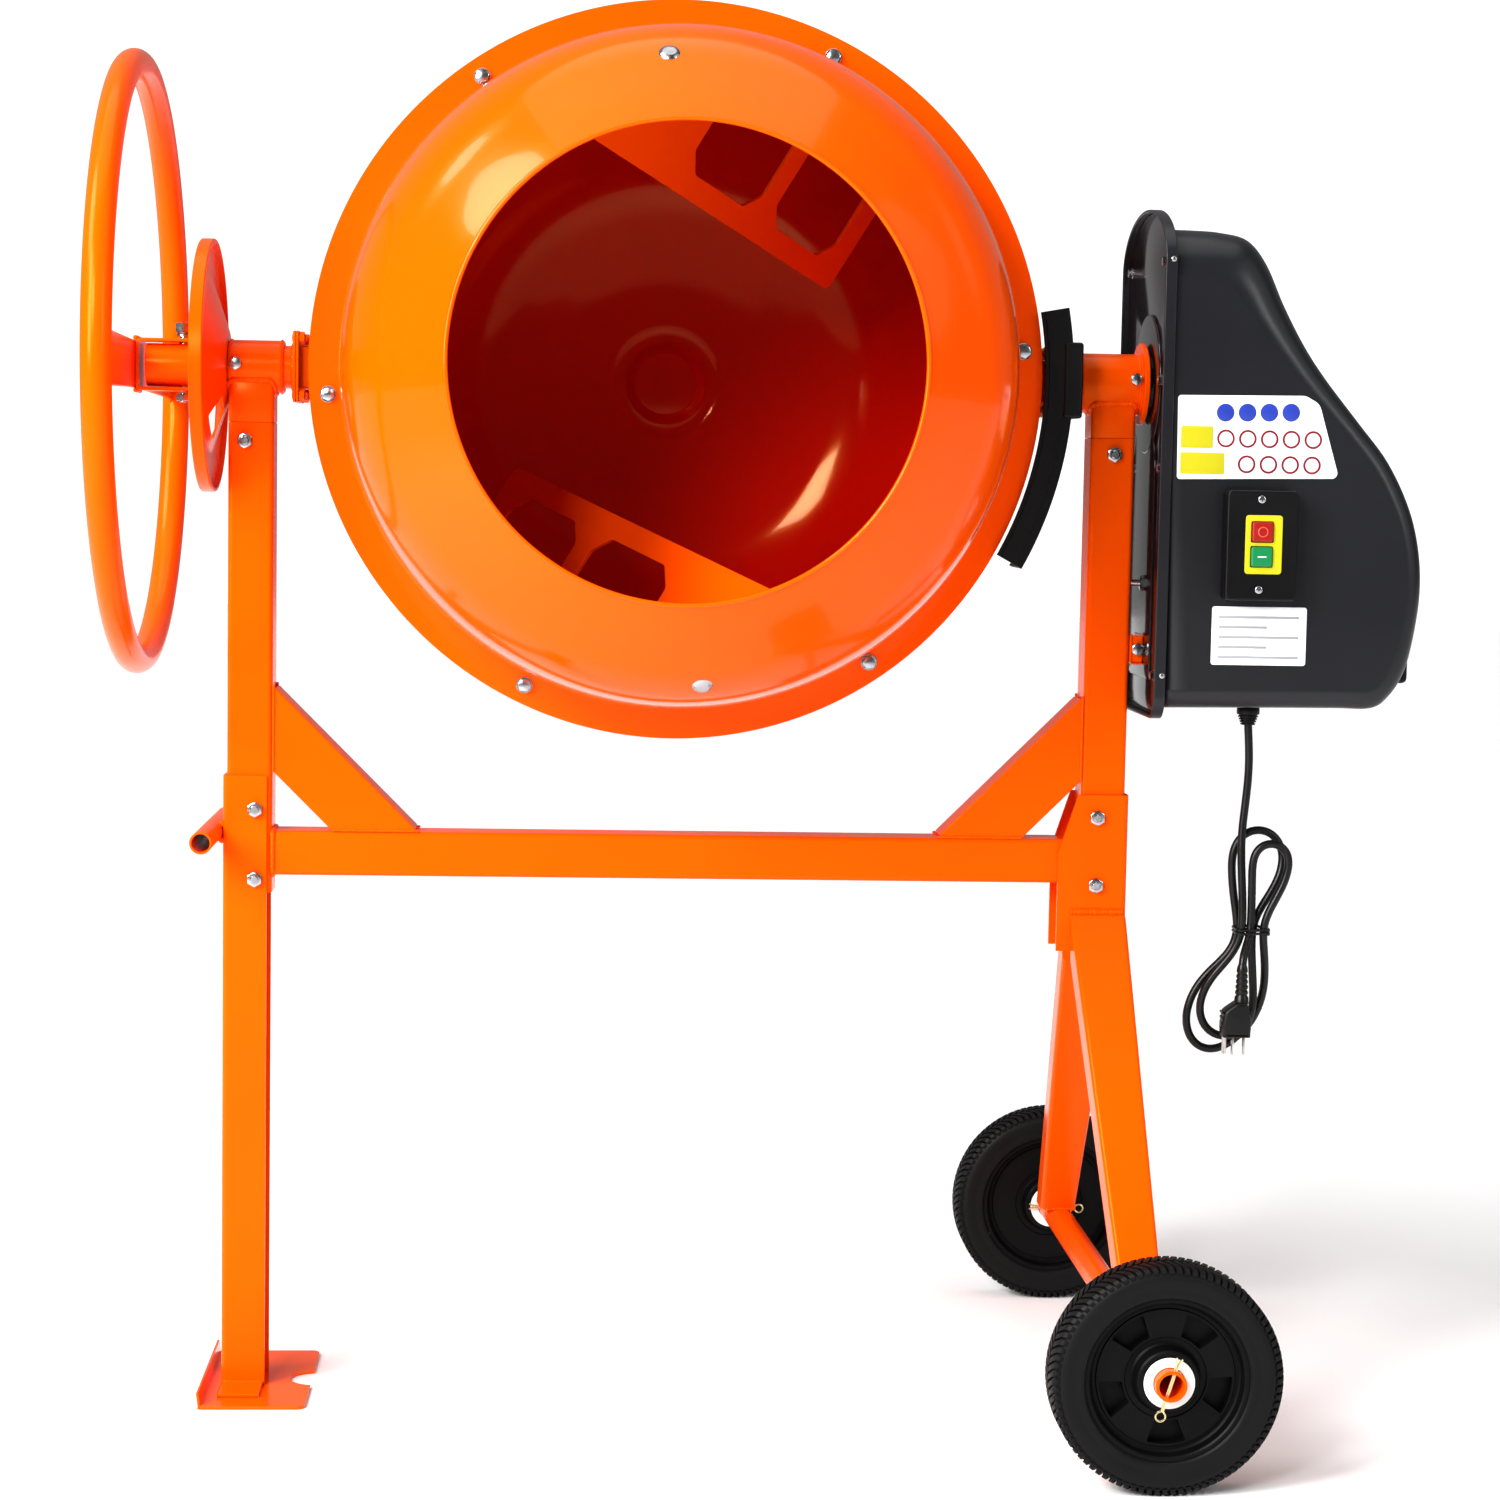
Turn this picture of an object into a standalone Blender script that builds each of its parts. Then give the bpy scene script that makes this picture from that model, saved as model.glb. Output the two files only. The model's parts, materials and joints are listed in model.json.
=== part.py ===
"""Electric concrete mixer: a tilting drum in a yoke, on a stand with one foot and two wheels.

Axes: X runs along the trunnions, from the handwheel (-X) to the belt-drive housing (+X).
-Y is the side the drum's mouth faces, and +Z is up. The design frame has the drum's axis at
X = 0, the trunnions' axis at Y = 0 and the floor at Z = 0. The last step moves the whole model
so that the middle of its base, without the supply cord, is the world's origin.
"""
import math

import bmesh
import bpy
from mathutils import Matrix, Vector

# ---------------------------------------------------------------- driving dimensions, in metres
GAP = 0.0003                     # clearance between pieces that touch
AXIS_Z = 0.940                   # height of the trunnions' axis
TUBE = 0.041                     # outer width of the stand's square tube
TUBE_WALL = 0.0025
LEFT_POST_X = -0.3830            # centre of each post
RIGHT_POST_X = 0.4020
POST_BOTTOM_Z = 0.462
POST_TOP_Z = 0.8895
BEAM_TOP_Z = 0.519

DRUM_R = 0.3281                  # outer radius of the drum's bolted flange
BOWL_R = 0.292                   # outer radius of the bowl behind it
CONE_R = 0.2975                  # radius of the front half where it meets the flange
MOUTH_R = 0.1966                 # radius of the mouth, at the middle of its sheet
FLANGE_Y = -0.0624               # plane where the two halves of the drum meet
MOUTH_Y = -0.3015
BOWL_END_Y = 0.2750
SHEET = 0.0025                   # drum sheet thickness

HANDWHEEL_X = -0.4850            # plane of the handwheel
HANDWHEEL_R = 0.2666
HANDWHEEL_TUBE_R = 0.0130
PIVOT_X = -0.4450                # upright bolt that the handwheel rocks on
SHAFT_R = 0.0193                 # left trunnion shaft
RIGHT_TUBE_R = 0.0225            # right trunnion tube
YOKE_X = 0.3396                  # outer face of the yoke's arms

HOUSING_X = 0.4310               # open side of the housing
HOUSING_Y = 0.0090               # middle of the housing
HOUSING_HALF_Y = 0.1040
BACK_PLATE_X = 0.4382            # middle of the sheet that closes it
LIP_REACH = 0.0050               # how far the lip stands out of the housing's sides
LIP_LOW_Z = 0.6370
LIP_HIGH_Z = 1.0995
LIP_RISE = 0.0520                # height of the arch at the top of the lip
MOTOR_Z = 0.7450

WHEEL_R = 0.0989
WHEEL_WIDTH = 0.0446
WHEEL_Y = 0.3177                 # middle of each wheel
AXLE_X = 0.4150
AXLE_R = 0.01335
AXLE_HALF = 0.3520

CORD_R = 0.00375
CORD_Y = -0.0300                 # plane that the supply cord hangs in

ORANGE = ((1.0, 0.17, 0.0), 0.28, 0.0)
BLACK = ((0.012, 0.012, 0.013), 0.45, 0.0)
DARK_GREY = ((0.030, 0.030, 0.037), 0.42, 0.0)
GLOSS_BLACK = ((0.015, 0.013, 0.016), 0.10, 0.0)
STEEL = ((0.62, 0.62, 0.60), 0.30, 1.0)
CAST_IRON = ((0.08, 0.08, 0.08), 0.55, 1.0)
WHITE = ((0.80, 0.80, 0.78), 0.40, 0.0)
RED = ((0.65, 0.02, 0.02), 0.35, 0.0)
GREEN = ((0.01, 0.35, 0.10), 0.35, 0.0)

FRAME = Vector((0.0, 0.0, 0.0))
TRUNNION = Vector((0.0, 0.0, AXIS_Z))
TO_X = (math.radians(90), 0.0, math.radians(90))     # local x, y, z become Y, Z, X
TO_Y = (math.radians(-90), 0.0, 0.0)                 # local z becomes +Y
FACE_XZ = (math.radians(90), 0.0, 0.0)               # local x, y become X, Z

CORD_PIECES = ("cord_drop", "cord_hank", "cord_tie", "plug", "cable_gland")


# ---------------------------------------------------------------- scene and modelling helpers
def clear_scene():
    for old in list(bpy.data.objects):
        bpy.data.objects.remove(old, do_unlink=True)


def new_collection(name):
    collection = bpy.data.collections.new(name)
    bpy.context.scene.collection.children.link(collection)
    return collection


def new_empty(name, parent=None, location=FRAME):
    """An empty at a point of the design frame; pieces parented to it turn about that point."""
    empty = bpy.data.objects.new(name, None)
    PARTS.objects.link(empty)
    empty.parent = parent
    empty["origin"] = tuple(location)
    empty.location = Vector(location) - (Vector(parent["origin"]) if parent else FRAME)
    return empty


def place(piece, parent, location, rotation=(0.0, 0.0, 0.0)):
    """Put a piece at a point of the design frame, under one of the empties."""
    piece.parent = parent
    piece.location = Vector(location) - Vector(parent["origin"])
    piece.rotation_euler = rotation
    return piece


def paint(piece, look):
    colour, roughness, metallic = look
    material = bpy.data.materials.new(piece.name + "_material")
    material.use_nodes = True
    shader = material.node_tree.nodes["Principled BSDF"]
    shader.inputs["Base Color"].default_value = (*colour, 1.0)
    shader.inputs["Roughness"].default_value = roughness
    shader.inputs["Metallic"].default_value = metallic
    piece.data.materials.clear()
    piece.data.materials.append(material)
    return piece


def smooth(piece, degrees=35):
    piece.data.shade_smooth()
    piece.data.set_sharp_from_angle(angle=math.radians(degrees))
    return piece


def mesh_piece(name, mesh_maker):
    """A linked object whose mesh is filled in by a function that works on a bmesh."""
    mesh = bpy.data.meshes.new(name)
    work = bmesh.new()
    mesh_maker(work)
    work.to_mesh(mesh)
    work.free()
    piece = bpy.data.objects.new(name, mesh)
    PARTS.objects.link(piece)
    return piece


def box(name, low, high, parent=None):
    """A box between two corners of the design frame."""
    size = Vector(high) - Vector(low)
    middle = (Vector(high) + Vector(low)) / 2

    def make(work):
        cube = bmesh.ops.create_cube(work, size=1.0)
        bmesh.ops.scale(work, vec=size, verts=cube["verts"])

    return place(mesh_piece(name, make), parent or ROOT, middle)


def cylinder(name, radius, length, middle, rotation=(0.0, 0.0, 0.0), parent=None, sides=24):
    def make(work):
        bmesh.ops.create_cone(work, cap_ends=True, segments=sides, radius1=radius,
                              radius2=radius, depth=length)

    return smooth(place(mesh_piece(name, make), parent or ROOT, middle, rotation))


def turned(name, profile, middle, rotation=(0.0, 0.0, 0.0), parent=None, steps=32, closed=True):
    """A Screw about local Z of (radius, height) points that run down the outer side."""
    mesh = bpy.data.meshes.new(name)
    edges = [(i, i + 1) for i in range(len(profile) - 1)]
    if closed and min(radius for radius, height in profile) > 0:
        edges.append((len(profile) - 1, 0))
    mesh.from_pydata([(radius, 0.0, height) for radius, height in profile], edges, [])
    piece = bpy.data.objects.new(name, mesh)
    PARTS.objects.link(piece)
    screw = piece.modifiers.new("Turn", "SCREW")
    screw.steps = steps
    screw.render_steps = steps
    screw.use_merge_vertices = True
    screw.merge_threshold = 0.00001
    screw.use_smooth_shade = True
    return place(piece, parent or ROOT, middle, rotation)


def as_mesh(piece):
    """Replace a curve object by the mesh it makes, with its loose caps welded."""
    bpy.context.view_layer.update()
    evaluated = piece.evaluated_get(bpy.context.evaluated_depsgraph_get())
    mesh = bpy.data.meshes.new_from_object(evaluated)
    work = bmesh.new()
    work.from_mesh(mesh)
    bmesh.ops.remove_doubles(work, verts=work.verts, dist=0.000001)
    bmesh.ops.recalc_face_normals(work, faces=work.faces)
    work.to_mesh(mesh)
    work.free()
    solid = bpy.data.objects.new(piece.name + "_solid", mesh)
    PARTS.objects.link(solid)
    solid.parent = piece.parent
    solid.location = piece.location
    solid.rotation_euler = piece.rotation_euler
    name = piece.name
    curve = piece.data
    bpy.data.objects.remove(piece, do_unlink=True)
    bpy.data.curves.remove(curve)
    solid.name = name
    mesh.name = name
    return solid


def plate(name, outlines, thickness, middle, rotation=(0.0, 0.0, 0.0), parent=None):
    """A flat outline, with any inner outlines as holes, thickened both ways along local Z."""
    curve = bpy.data.curves.new(name, "CURVE")
    curve.dimensions = "2D"
    curve.fill_mode = "BOTH"
    curve.extrude = thickness / 2
    for outline in outlines:
        spline = curve.splines.new("POLY")
        spline.points.add(len(outline) - 1)
        for point, (x, y) in zip(spline.points, outline):
            point.co = (x, y, 0.0, 1.0)
        spline.use_cyclic_u = True
    piece = bpy.data.objects.new(name, curve)
    PARTS.objects.link(piece)
    place(piece, parent or ROOT, middle, rotation)
    return as_mesh(piece)


def rod(name, points, radius, parent=None, cyclic=False, resolution=3, origin=FRAME):
    """A round rod or tube along points of the design frame."""
    curve = bpy.data.curves.new(name, "CURVE")
    curve.dimensions = "3D"
    curve.bevel_depth = radius
    curve.bevel_resolution = resolution
    curve.use_fill_caps = not cyclic
    spline = curve.splines.new("POLY")
    spline.points.add(len(points) - 1)
    for point, position in zip(spline.points, points):
        point.co = (*(Vector(position) - Vector(origin)), 1.0)
    spline.use_cyclic_u = cyclic
    piece = bpy.data.objects.new(name, curve)
    PARTS.objects.link(piece)
    place(piece, parent or ROOT, origin)
    return smooth(as_mesh(piece))


def boolean(piece, operand, operation):
    """Cut or join with a second shape, which stays as a hidden operand."""
    modifier = piece.modifiers.new(operation.title(), "BOOLEAN")
    modifier.operation = operation
    modifier.object = operand
    modifier.solver = "EXACT"
    operand.hide_render = True
    operand.display_type = "WIRE"
    PARTS.objects.unlink(operand)
    CUTTERS.objects.link(operand)
    return piece


def cut(piece, *operands):
    for operand in operands:
        boolean(piece, operand, "DIFFERENCE")
    return piece


def join(piece, *operands):
    for operand in operands:
        boolean(piece, operand, "UNION")
    return piece


def bevel(piece, width, segments=2, degrees=40):
    modifier = piece.modifiers.new("Bevel", "BEVEL")
    modifier.width = width
    modifier.segments = segments
    modifier.limit_method = "ANGLE"
    modifier.angle_limit = math.radians(degrees)
    return piece


# ---------------------------------------------------------------- outlines
def rectangle(width, height):
    return [(-width / 2, -height / 2), (width / 2, -height / 2),
            (width / 2, height / 2), (-width / 2, height / 2)]


def arc(centre, radius, start, end, count):
    """Points on an arc, with its start and end angles in degrees."""
    points = []
    for i in range(count + 1):
        angle = math.radians(start + (end - start) * i / count)
        points.append((centre[0] + radius * math.cos(angle), centre[1] + radius * math.sin(angle)))
    return points


def sector(inner, outer, start, end, count=6):
    return arc((0, 0), inner, start, end, count) + arc((0, 0), outer, end, start, count)


def rounded_rectangle(low, high, radius, count=5):
    """A rectangle between two corners, with round corners of one radius."""
    (x0, y0), (x1, y1) = low, high
    return (arc((x1 - radius, y0 + radius), radius, -90, 0, count)
            + arc((x1 - radius, y1 - radius), radius, 0, 90, count)
            + arc((x0 + radius, y1 - radius), radius, 90, 180, count)
            + arc((x0 + radius, y0 + radius), radius, 180, 270, count))


def ring_profile(inner, outer, low, high):
    return [(outer, high), (outer, low), (inner, low), (inner, high)]


def catmull_rom(points, per_span):
    """A smooth curve through points, with the same number of steps in every span."""
    path = []
    ends = [points[0]] + list(points) + [points[-1]]
    for i in range(1, len(ends) - 2):
        a, b, c, d = (Vector(ends[j]) for j in range(i - 1, i + 3))
        for k in range(per_span):
            t = k / per_span
            path.append(0.5 * ((2 * b) + (c - a) * t + (2 * a - 5 * b + 4 * c - d) * t ** 2
                               + (3 * b - a - 3 * c + d) * t ** 3))
    path.append(Vector(points[-1]))
    return path


# ---------------------------------------------------------------- the stand
def square_tube(name, low, high, along):
    """A square tube between two corners, open at both ends, along X or Z."""
    size = Vector(high) - Vector(low)
    middle = (Vector(high) + Vector(low)) / 2
    if along == "Z":
        width, height, length, rotation = size.x, size.y, size.z, (0.0, 0.0, 0.0)
    else:
        width, height, length, rotation = size.y, size.z, size.x, TO_X
    loops = [rectangle(width, height), rectangle(width - 2 * TUBE_WALL, height - 2 * TUBE_WALL)]
    return plate(name, loops, length, middle, rotation)


def make_posts():
    half = TUBE / 2
    for name, x in (("left_post", LEFT_POST_X), ("right_post", RIGHT_POST_X)):
        low = (x - half, -half, POST_BOTTOM_Z)
        high = (x + half, half, POST_TOP_Z)
        paint(square_tube(name, low, high, "Z"), ORANGE)


def make_bearing_head(name, x, sleeve_low, sleeve_high, sleeve_r, bore_r):
    """The square head that plugs into a post, welded under a bearing sleeve along X."""
    half = TUBE / 2
    plug_half = half - TUBE_WALL - GAP
    head = box(name, (x - half, -half, POST_TOP_Z + GAP), (x + half, half, AXIS_Z - 0.012))
    plug = box(name + "_plug", (x - plug_half, -plug_half, POST_TOP_Z - 0.050),
               (x + plug_half, plug_half, POST_TOP_Z + 0.010))
    length = sleeve_high - sleeve_low
    middle = ((sleeve_low + sleeve_high) / 2, 0.0, AXIS_Z)
    sleeve = cylinder(name + "_sleeve", sleeve_r, length, middle, TO_X)
    bore = cylinder(name + "_bore", bore_r, length + 0.050, middle, TO_X)
    join(head, plug, sleeve)
    return head, bore


def make_left_head():
    head, bore = make_bearing_head("left_bearing_head", LEFT_POST_X, -0.4040, -0.3545,
                                   0.0238, SHAFT_R + 0.0005)
    paint(cut(head, bore), ORANGE)


def make_right_head():
    head, bore = make_bearing_head("right_bearing_head", RIGHT_POST_X, 0.3700, 0.4320,
                                   0.0274, RIGHT_TUBE_R + 0.0005)
    flange = cylinder("right_flange", 0.0375, 0.0050, (0.4295, 0.0, AXIS_Z), TO_X)
    join(head, flange)
    paint(cut(head, bore), ORANGE)


def make_beam():
    half = TUBE / 2
    low = (LEFT_POST_X + half + GAP, -half, BEAM_TOP_Z - TUBE)
    high = (RIGHT_POST_X - half - GAP, half, BEAM_TOP_Z)
    paint(square_tube("crossbeam", low, high, "X"), ORANGE)


def brace_outline(reach, width, extra=0.0):
    """A 45 degree strip between an upright line at x = 0 and a level line at y = 0."""
    outer = reach + extra
    inner = reach - width + extra
    return [(-extra, outer), (-extra, inner), (inner, -extra), (outer, -extra)]


def make_braces():
    reach = 0.133
    width = 0.079
    depth = 0.038
    wall = 0.003
    corner_z = BEAM_TOP_Z + GAP
    half = TUBE / 2 + GAP
    for name, x, side in (("left_brace", LEFT_POST_X + half, 1), ("right_brace", RIGHT_POST_X - half, -1)):
        outline = [(side * u, v) for u, v in brace_outline(reach, width)]
        skin = wall * math.sqrt(2)
        inner = [(-0.02, reach - skin + 0.02), (-0.02, reach - width + skin + 0.02),
                 (reach - width + skin + 0.02, -0.02), (reach - skin + 0.02, -0.02)]
        hollow = [(side * u, v) for u, v in inner]
        brace = plate(name, [outline], depth, (x, 0.0, corner_z), FACE_XZ)
        core = plate(name + "_core", [hollow], depth - 2 * wall, (x, 0.0, corner_z), FACE_XZ)
        paint(cut(brace, core), ORANGE)


def channel_outline(low, high, wall, open_side):
    """A U section between two corners, open towards +X or -X."""
    (x0, y0), (x1, y1) = low, high
    if open_side == "+X":
        return [(x0, y0), (x1, y0), (x1, y0 + wall), (x0 + wall, y0 + wall),
                (x0 + wall, y1 - wall), (x1, y1 - wall), (x1, y1), (x0, y1)]
    return [(x1, y1), (x0, y1), (x0, y1 - wall), (x1 - wall, y1 - wall),
            (x1 - wall, y0 + wall), (x0, y0 + wall), (x0, y0), (x1, y0)]


CHANNEL_WALL = 0.003
CHANNEL_HALF = TUBE / 2 + GAP + CHANNEL_WALL
FOOT_THICKNESS = 0.003


def make_left_leg():
    """The channel leg that wraps the left post, with a tab bent forward on the foot plate."""
    low_z = FOOT_THICKNESS + GAP
    high_z = 0.5695
    left = LEFT_POST_X - CHANNEL_HALF
    outline = channel_outline((left, -CHANNEL_HALF), (left + 0.040, CHANNEL_HALF), CHANNEL_WALL, "+X")
    leg = plate("left_leg", [outline], high_z - low_z, (0.0, 0.0, (low_z + high_z) / 2))
    tab = box("left_leg_tab", (left + 0.001, -CHANNEL_HALF - 0.040, low_z),
              (left + 0.039, -CHANNEL_HALF + 0.002, low_z + 0.003))
    paint(join(leg, tab), ORANGE)


def make_foot_plate():
    left, right = -0.4205, -0.3245
    half = 0.091
    notch_r = 0.0235
    corner = 0.007
    notch = arc((right + 0.003, 0.0), notch_r, -97, -263, 12)
    outline = ([(left, -half), (right - corner, -half), (right, -half + corner)] + notch
               + [(right, half - corner), (right - corner, half), (left, half)])
    foot = plate("foot_plate", [outline], FOOT_THICKNESS, (0.0, 0.0, FOOT_THICKNESS / 2))
    lip_outline = [(left + 0.0005, 0.0), (left + 0.0035, 0.0001),
                   (left + 0.0010, 0.0150), (left - 0.0020, 0.0145)]
    lip = plate("foot_lip", [lip_outline], 2 * half - 0.004, (0.0, 0.0, 0.0), FACE_XZ)
    paint(join(foot, lip), ORANGE)


def make_tow_handle():
    radius, wall, length = 0.0100, 0.0018, 0.214
    x = LEFT_POST_X - CHANNEL_HALF - radius - GAP
    profile = ring_profile(radius - wall, radius, -length / 2, length / 2)
    paint(turned("tow_handle", profile, (x, 0.0, 0.517), TO_Y, steps=20), ORANGE)


def make_leg_bracket():
    """The channel bracket that bolts round the right post and carries both wheel legs."""
    low_z, high_z = 0.4150, 0.5610
    right = RIGHT_POST_X + CHANNEL_HALF
    left = 0.3608
    outline = channel_outline((left, -CHANNEL_HALF), (right, CHANNEL_HALF), CHANNEL_WALL, "-X")
    bracket = plate("leg_bracket", [outline], high_z - low_z, (0.0, 0.0, (low_z + high_z) / 2))
    corner = [(left - 0.01, 0.5063), (left, 0.5063), (0.3785, high_z), (0.3785, high_z + 0.01),
              (left - 0.01, high_z + 0.01)]
    chamfer = plate("bracket_chamfer", [corner], 0.10, (0.0, 0.0, 0.0), FACE_XZ)
    paint(cut(bracket, chamfer), ORANGE)


LEG_TOP_Z = 0.451
LEG_DEPTH = 0.030
LEG_FOOT_Z = WHEEL_R + AXLE_R + GAP
LEG_SPLAY = math.radians(35.0)


def make_wheel_legs():
    """Two tapered box legs that splay from the bracket to the axle."""
    top_y = CHANNEL_HALF + GAP
    length = 0.46
    wall = 0.0025
    for name, side in (("front_leg", -1), ("rear_leg", 1)):
        taper = [(0.3960, -length), (0.4290, -length), (0.4255, 0.0), (0.3720, 0.0)]
        bore = [(0.3960 + wall, -length - 0.01), (0.4290 - wall, -length - 0.01),
                (0.4255 - wall, 0.01), (0.3720 + wall, 0.01)]
        turn = (math.radians(90) + side * LEG_SPLAY, 0.0, 0.0)
        normal = Vector((0.0, -side * math.cos(LEG_SPLAY), -math.sin(LEG_SPLAY)))
        middle = Vector((0.0, side * top_y, LEG_TOP_Z)) + normal * LEG_DEPTH / 2
        leg = plate(name, [taper], LEG_DEPTH, middle, turn)
        core = plate(name + "_core", [bore], LEG_DEPTH - 2 * wall, middle, turn)
        near, far = sorted((side * top_y, -side * 0.30))
        top_cut = box(name + "_top", (0.3, near, 0.3), (0.5, far, 0.6))
        foot_cut = box(name + "_foot", (0.3, -0.5, -0.1), (0.5, 0.5, LEG_FOOT_Z))
        paint(cut(leg, core, top_cut, foot_cut), ORANGE)


# ---------------------------------------------------------------- axle, wheels and their pins
def make_axle():
    profile = ring_profile(0.0105, AXLE_R, -AXLE_HALF, AXLE_HALF)
    axle = turned("axle_tube", profile, (AXLE_X, 0.0, WHEEL_R), TO_Y, steps=20)
    for i, y in enumerate(PIN_PLACES):
        cut(axle, cylinder(f"pin_hole_{i}", 0.0020, 0.06, (AXLE_X, y, WHEEL_R), sides=8))
    paint(axle, ORANGE)


PIN_PLACES = (-0.3475, -0.2885, 0.2885, 0.3475)


def make_washers_and_pins():
    """A nylon washer and a split pin on each side of both wheels."""
    half_hub = WHEEL_WIDTH / 2 + 0.0002
    names = ("front_outer", "front_inner", "rear_inner", "rear_outer")
    washer_places = (-WHEEL_Y - half_hub - 0.0013, -WHEEL_Y + half_hub + 0.0013,
                     WHEEL_Y - half_hub - 0.0013, WHEEL_Y + half_hub + 0.0013)
    for name, washer_y, pin_y in zip(names, washer_places, PIN_PLACES):
        profile = ring_profile(AXLE_R + 0.0005, 0.0217, -0.001, 0.001)
        paint(turned(name + "_washer", profile, (AXLE_X, washer_y, WHEEL_R), TO_Y, steps=20), WHITE)
        make_split_pin(name + "_pin", pin_y)


def make_split_pin(name, y):
    """A straight shank through the axle and a round eye below it."""
    shank = cylinder(name, 0.0014, 0.0480, (AXLE_X, y, WHEEL_R), sides=6)
    ring = [(AXLE_X + u, y, WHEEL_R - 0.0275 + v) for u, v in arc((0, 0), 0.0042, 0, 320, 8)]
    eye = rod(name + "_eye", ring, 0.0012, cyclic=True, resolution=1)
    paint(join(shank, eye), STEEL)


def make_wheel(name, side):
    """A tyre, and a hub whose five pockets are open on the outer side only."""
    centre = (AXLE_X, side * WHEEL_Y, WHEEL_R)
    pivot = new_empty(name + "_pivot", ROOT, centre)
    half = WHEEL_WIDTH / 2
    upper = [(0.0700, half - 0.003), (0.0900, half - 0.001), (0.0962, half - 0.006), (WHEEL_R, half - 0.014)]
    tyre_profile = upper + [(radius, -height) for radius, height in reversed(upper)]
    paint(turned(name + "_tyre", tyre_profile, centre, TO_Y, pivot, steps=36), BLACK)
    web_half = 0.0060
    upper = [(0.0140, half), (0.0270, half), (0.0290, web_half), (0.0640, web_half), (0.0660, half - 0.004),
             (0.0697, half - 0.004)]
    hub_profile = upper + [(radius, -height) for radius, height in reversed(upper)]
    hub = turned(name + "_hub", hub_profile, centre, TO_Y, pivot, steps=30)
    floor = 0.0025
    depth = 0.0200
    middle_y = side * (WHEEL_Y - web_half + floor + depth / 2)
    for i in range(5):
        window = sector(0.0360, 0.0570, 72 * i + 4, 72 * i + 38, 2)
        cut(hub, plate(f"{name}_window_{i}", [window], depth, (AXLE_X, middle_y, WHEEL_R), FACE_XZ))
    paint(hub, BLACK)


# ---------------------------------------------------------------- lock disc
def make_lock_disc():
    """The dished disc on the left bearing that the handwheel locks against."""
    web = 0.0025
    rim_low, rim_high = -0.4285, -0.4165
    hub_x, web_x = -0.4043, -0.4210
    profile = [(0.0203, hub_x), (0.0310, hub_x), (0.0800, web_x), (0.1105, web_x), (0.1105, rim_high),
               (0.1140, rim_high), (0.1140, rim_low), (0.1105, rim_low), (0.1105, web_x - web),
               (0.0795, web_x - web), (0.0305, hub_x - web), (0.0203, hub_x - web)]
    disc = turned("lock_disc", profile, (0.0, 0.0, AXIS_Z), TO_X, steps=36)
    for i, turn in enumerate((240, 300)):
        window = sector(0.0400, 0.0680, turn - 18, turn + 18, 3)
        cut(disc, plate(f"disc_window_{i}", [window], 0.10, (-0.42, 0.0, AXIS_Z), TO_X))
    paint(disc, ORANGE)


# ---------------------------------------------------------------- drum
def shell(name, profile, parent, steps=40):
    """A turned sheet about the drum's axis, of one thickness, from its middle surface."""
    piece = turned(name, profile, TRUNNION, TO_Y, parent, steps=steps, closed=False)
    solidify = piece.modifiers.new("Sheet", "SOLIDIFY")
    solidify.thickness = SHEET
    solidify.offset = 0.0
    solidify.use_even_offset = True
    return piece


def make_drum_bowl(drum):
    half = SHEET / 2
    flange = FLANGE_Y + half + GAP / 2
    end = BOWL_END_Y
    profile = [(0.0, end - 0.006), (0.036, end - 0.006), (0.041, end), (0.110, end - 0.002),
               (0.180, end - 0.014), (0.226, end - 0.034), (0.258, end - 0.070), (0.279, end - 0.120),
               (BOWL_R - half, 0.060), (BOWL_R - half, flange), (DRUM_R, flange)]
    paint(shell("drum_bowl", profile, drum), ORANGE)


def make_drum_cone(drum):
    """The front half: a nearly straight wall, a round shoulder and a cone down to the mouth."""
    half = SHEET / 2
    flange = FLANGE_Y - half - GAP / 2
    profile = [(DRUM_R, flange), (CONE_R, flange), (CONE_R - 0.002, -0.110), (0.2905, -0.178),
               (0.2810, -0.215), (0.2635, -0.243), (MOUTH_R, MOUTH_Y)]
    paint(shell("drum_cone", profile, drum), ORANGE)


def make_ring_gear(drum):
    """The bevel ring behind the flange, at the height of its teeth's pitch line."""
    back = FLANGE_Y + SHEET + GAP * 1.5
    inner, outer = 0.2975, 0.3240
    slope = -0.0370 / 0.3115
    profile = [(inner, slope * inner), (outer, slope * outer), (outer, back), (inner, back)]
    paint(turned("ring_gear", profile, TRUNNION, TO_Y, drum, steps=40), CAST_IRON)


SPINDLE_R = 0.0125
HUB_FRONT_Y = BOWL_END_Y + SHEET / 2 + GAP
HUB_BACK_Y = 0.3150


def make_drum_hub(drum):
    profile = [(SPINDLE_R + GAP, HUB_BACK_Y), (0.032, HUB_BACK_Y), (0.034, 0.294), (0.075, HUB_FRONT_Y + 0.004),
               (0.075, HUB_FRONT_Y), (SPINDLE_R + GAP, HUB_FRONT_Y)]
    hub = turned("drum_hub", profile, TRUNNION, TO_Y, drum, steps=24)
    paint(hub, CAST_IRON)


def inner_space(name, parent):
    """The drum's inside, a little smaller than its walls, that trims what is mounted in it."""
    inset = SHEET / 2 + 2 * GAP
    profile = [(0.0, BOWL_END_Y - 0.012), (0.110, BOWL_END_Y - 0.010), (0.178, BOWL_END_Y - 0.020),
               (0.222, BOWL_END_Y - 0.038), (0.2560, BOWL_END_Y - 0.074), (0.2765, BOWL_END_Y - 0.122),
               (BOWL_R - SHEET - 0.0010, 0.058), (BOWL_R - SHEET - 0.0010, -0.110), (0.2880, -0.178),
               (0.2785, -0.2135), (0.2610, -0.2410), (MOUTH_R - inset, -0.2960), (0.0, -0.2960)]
    return turned(name, profile, TRUNNION, TO_Y, parent, steps=40)


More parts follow.
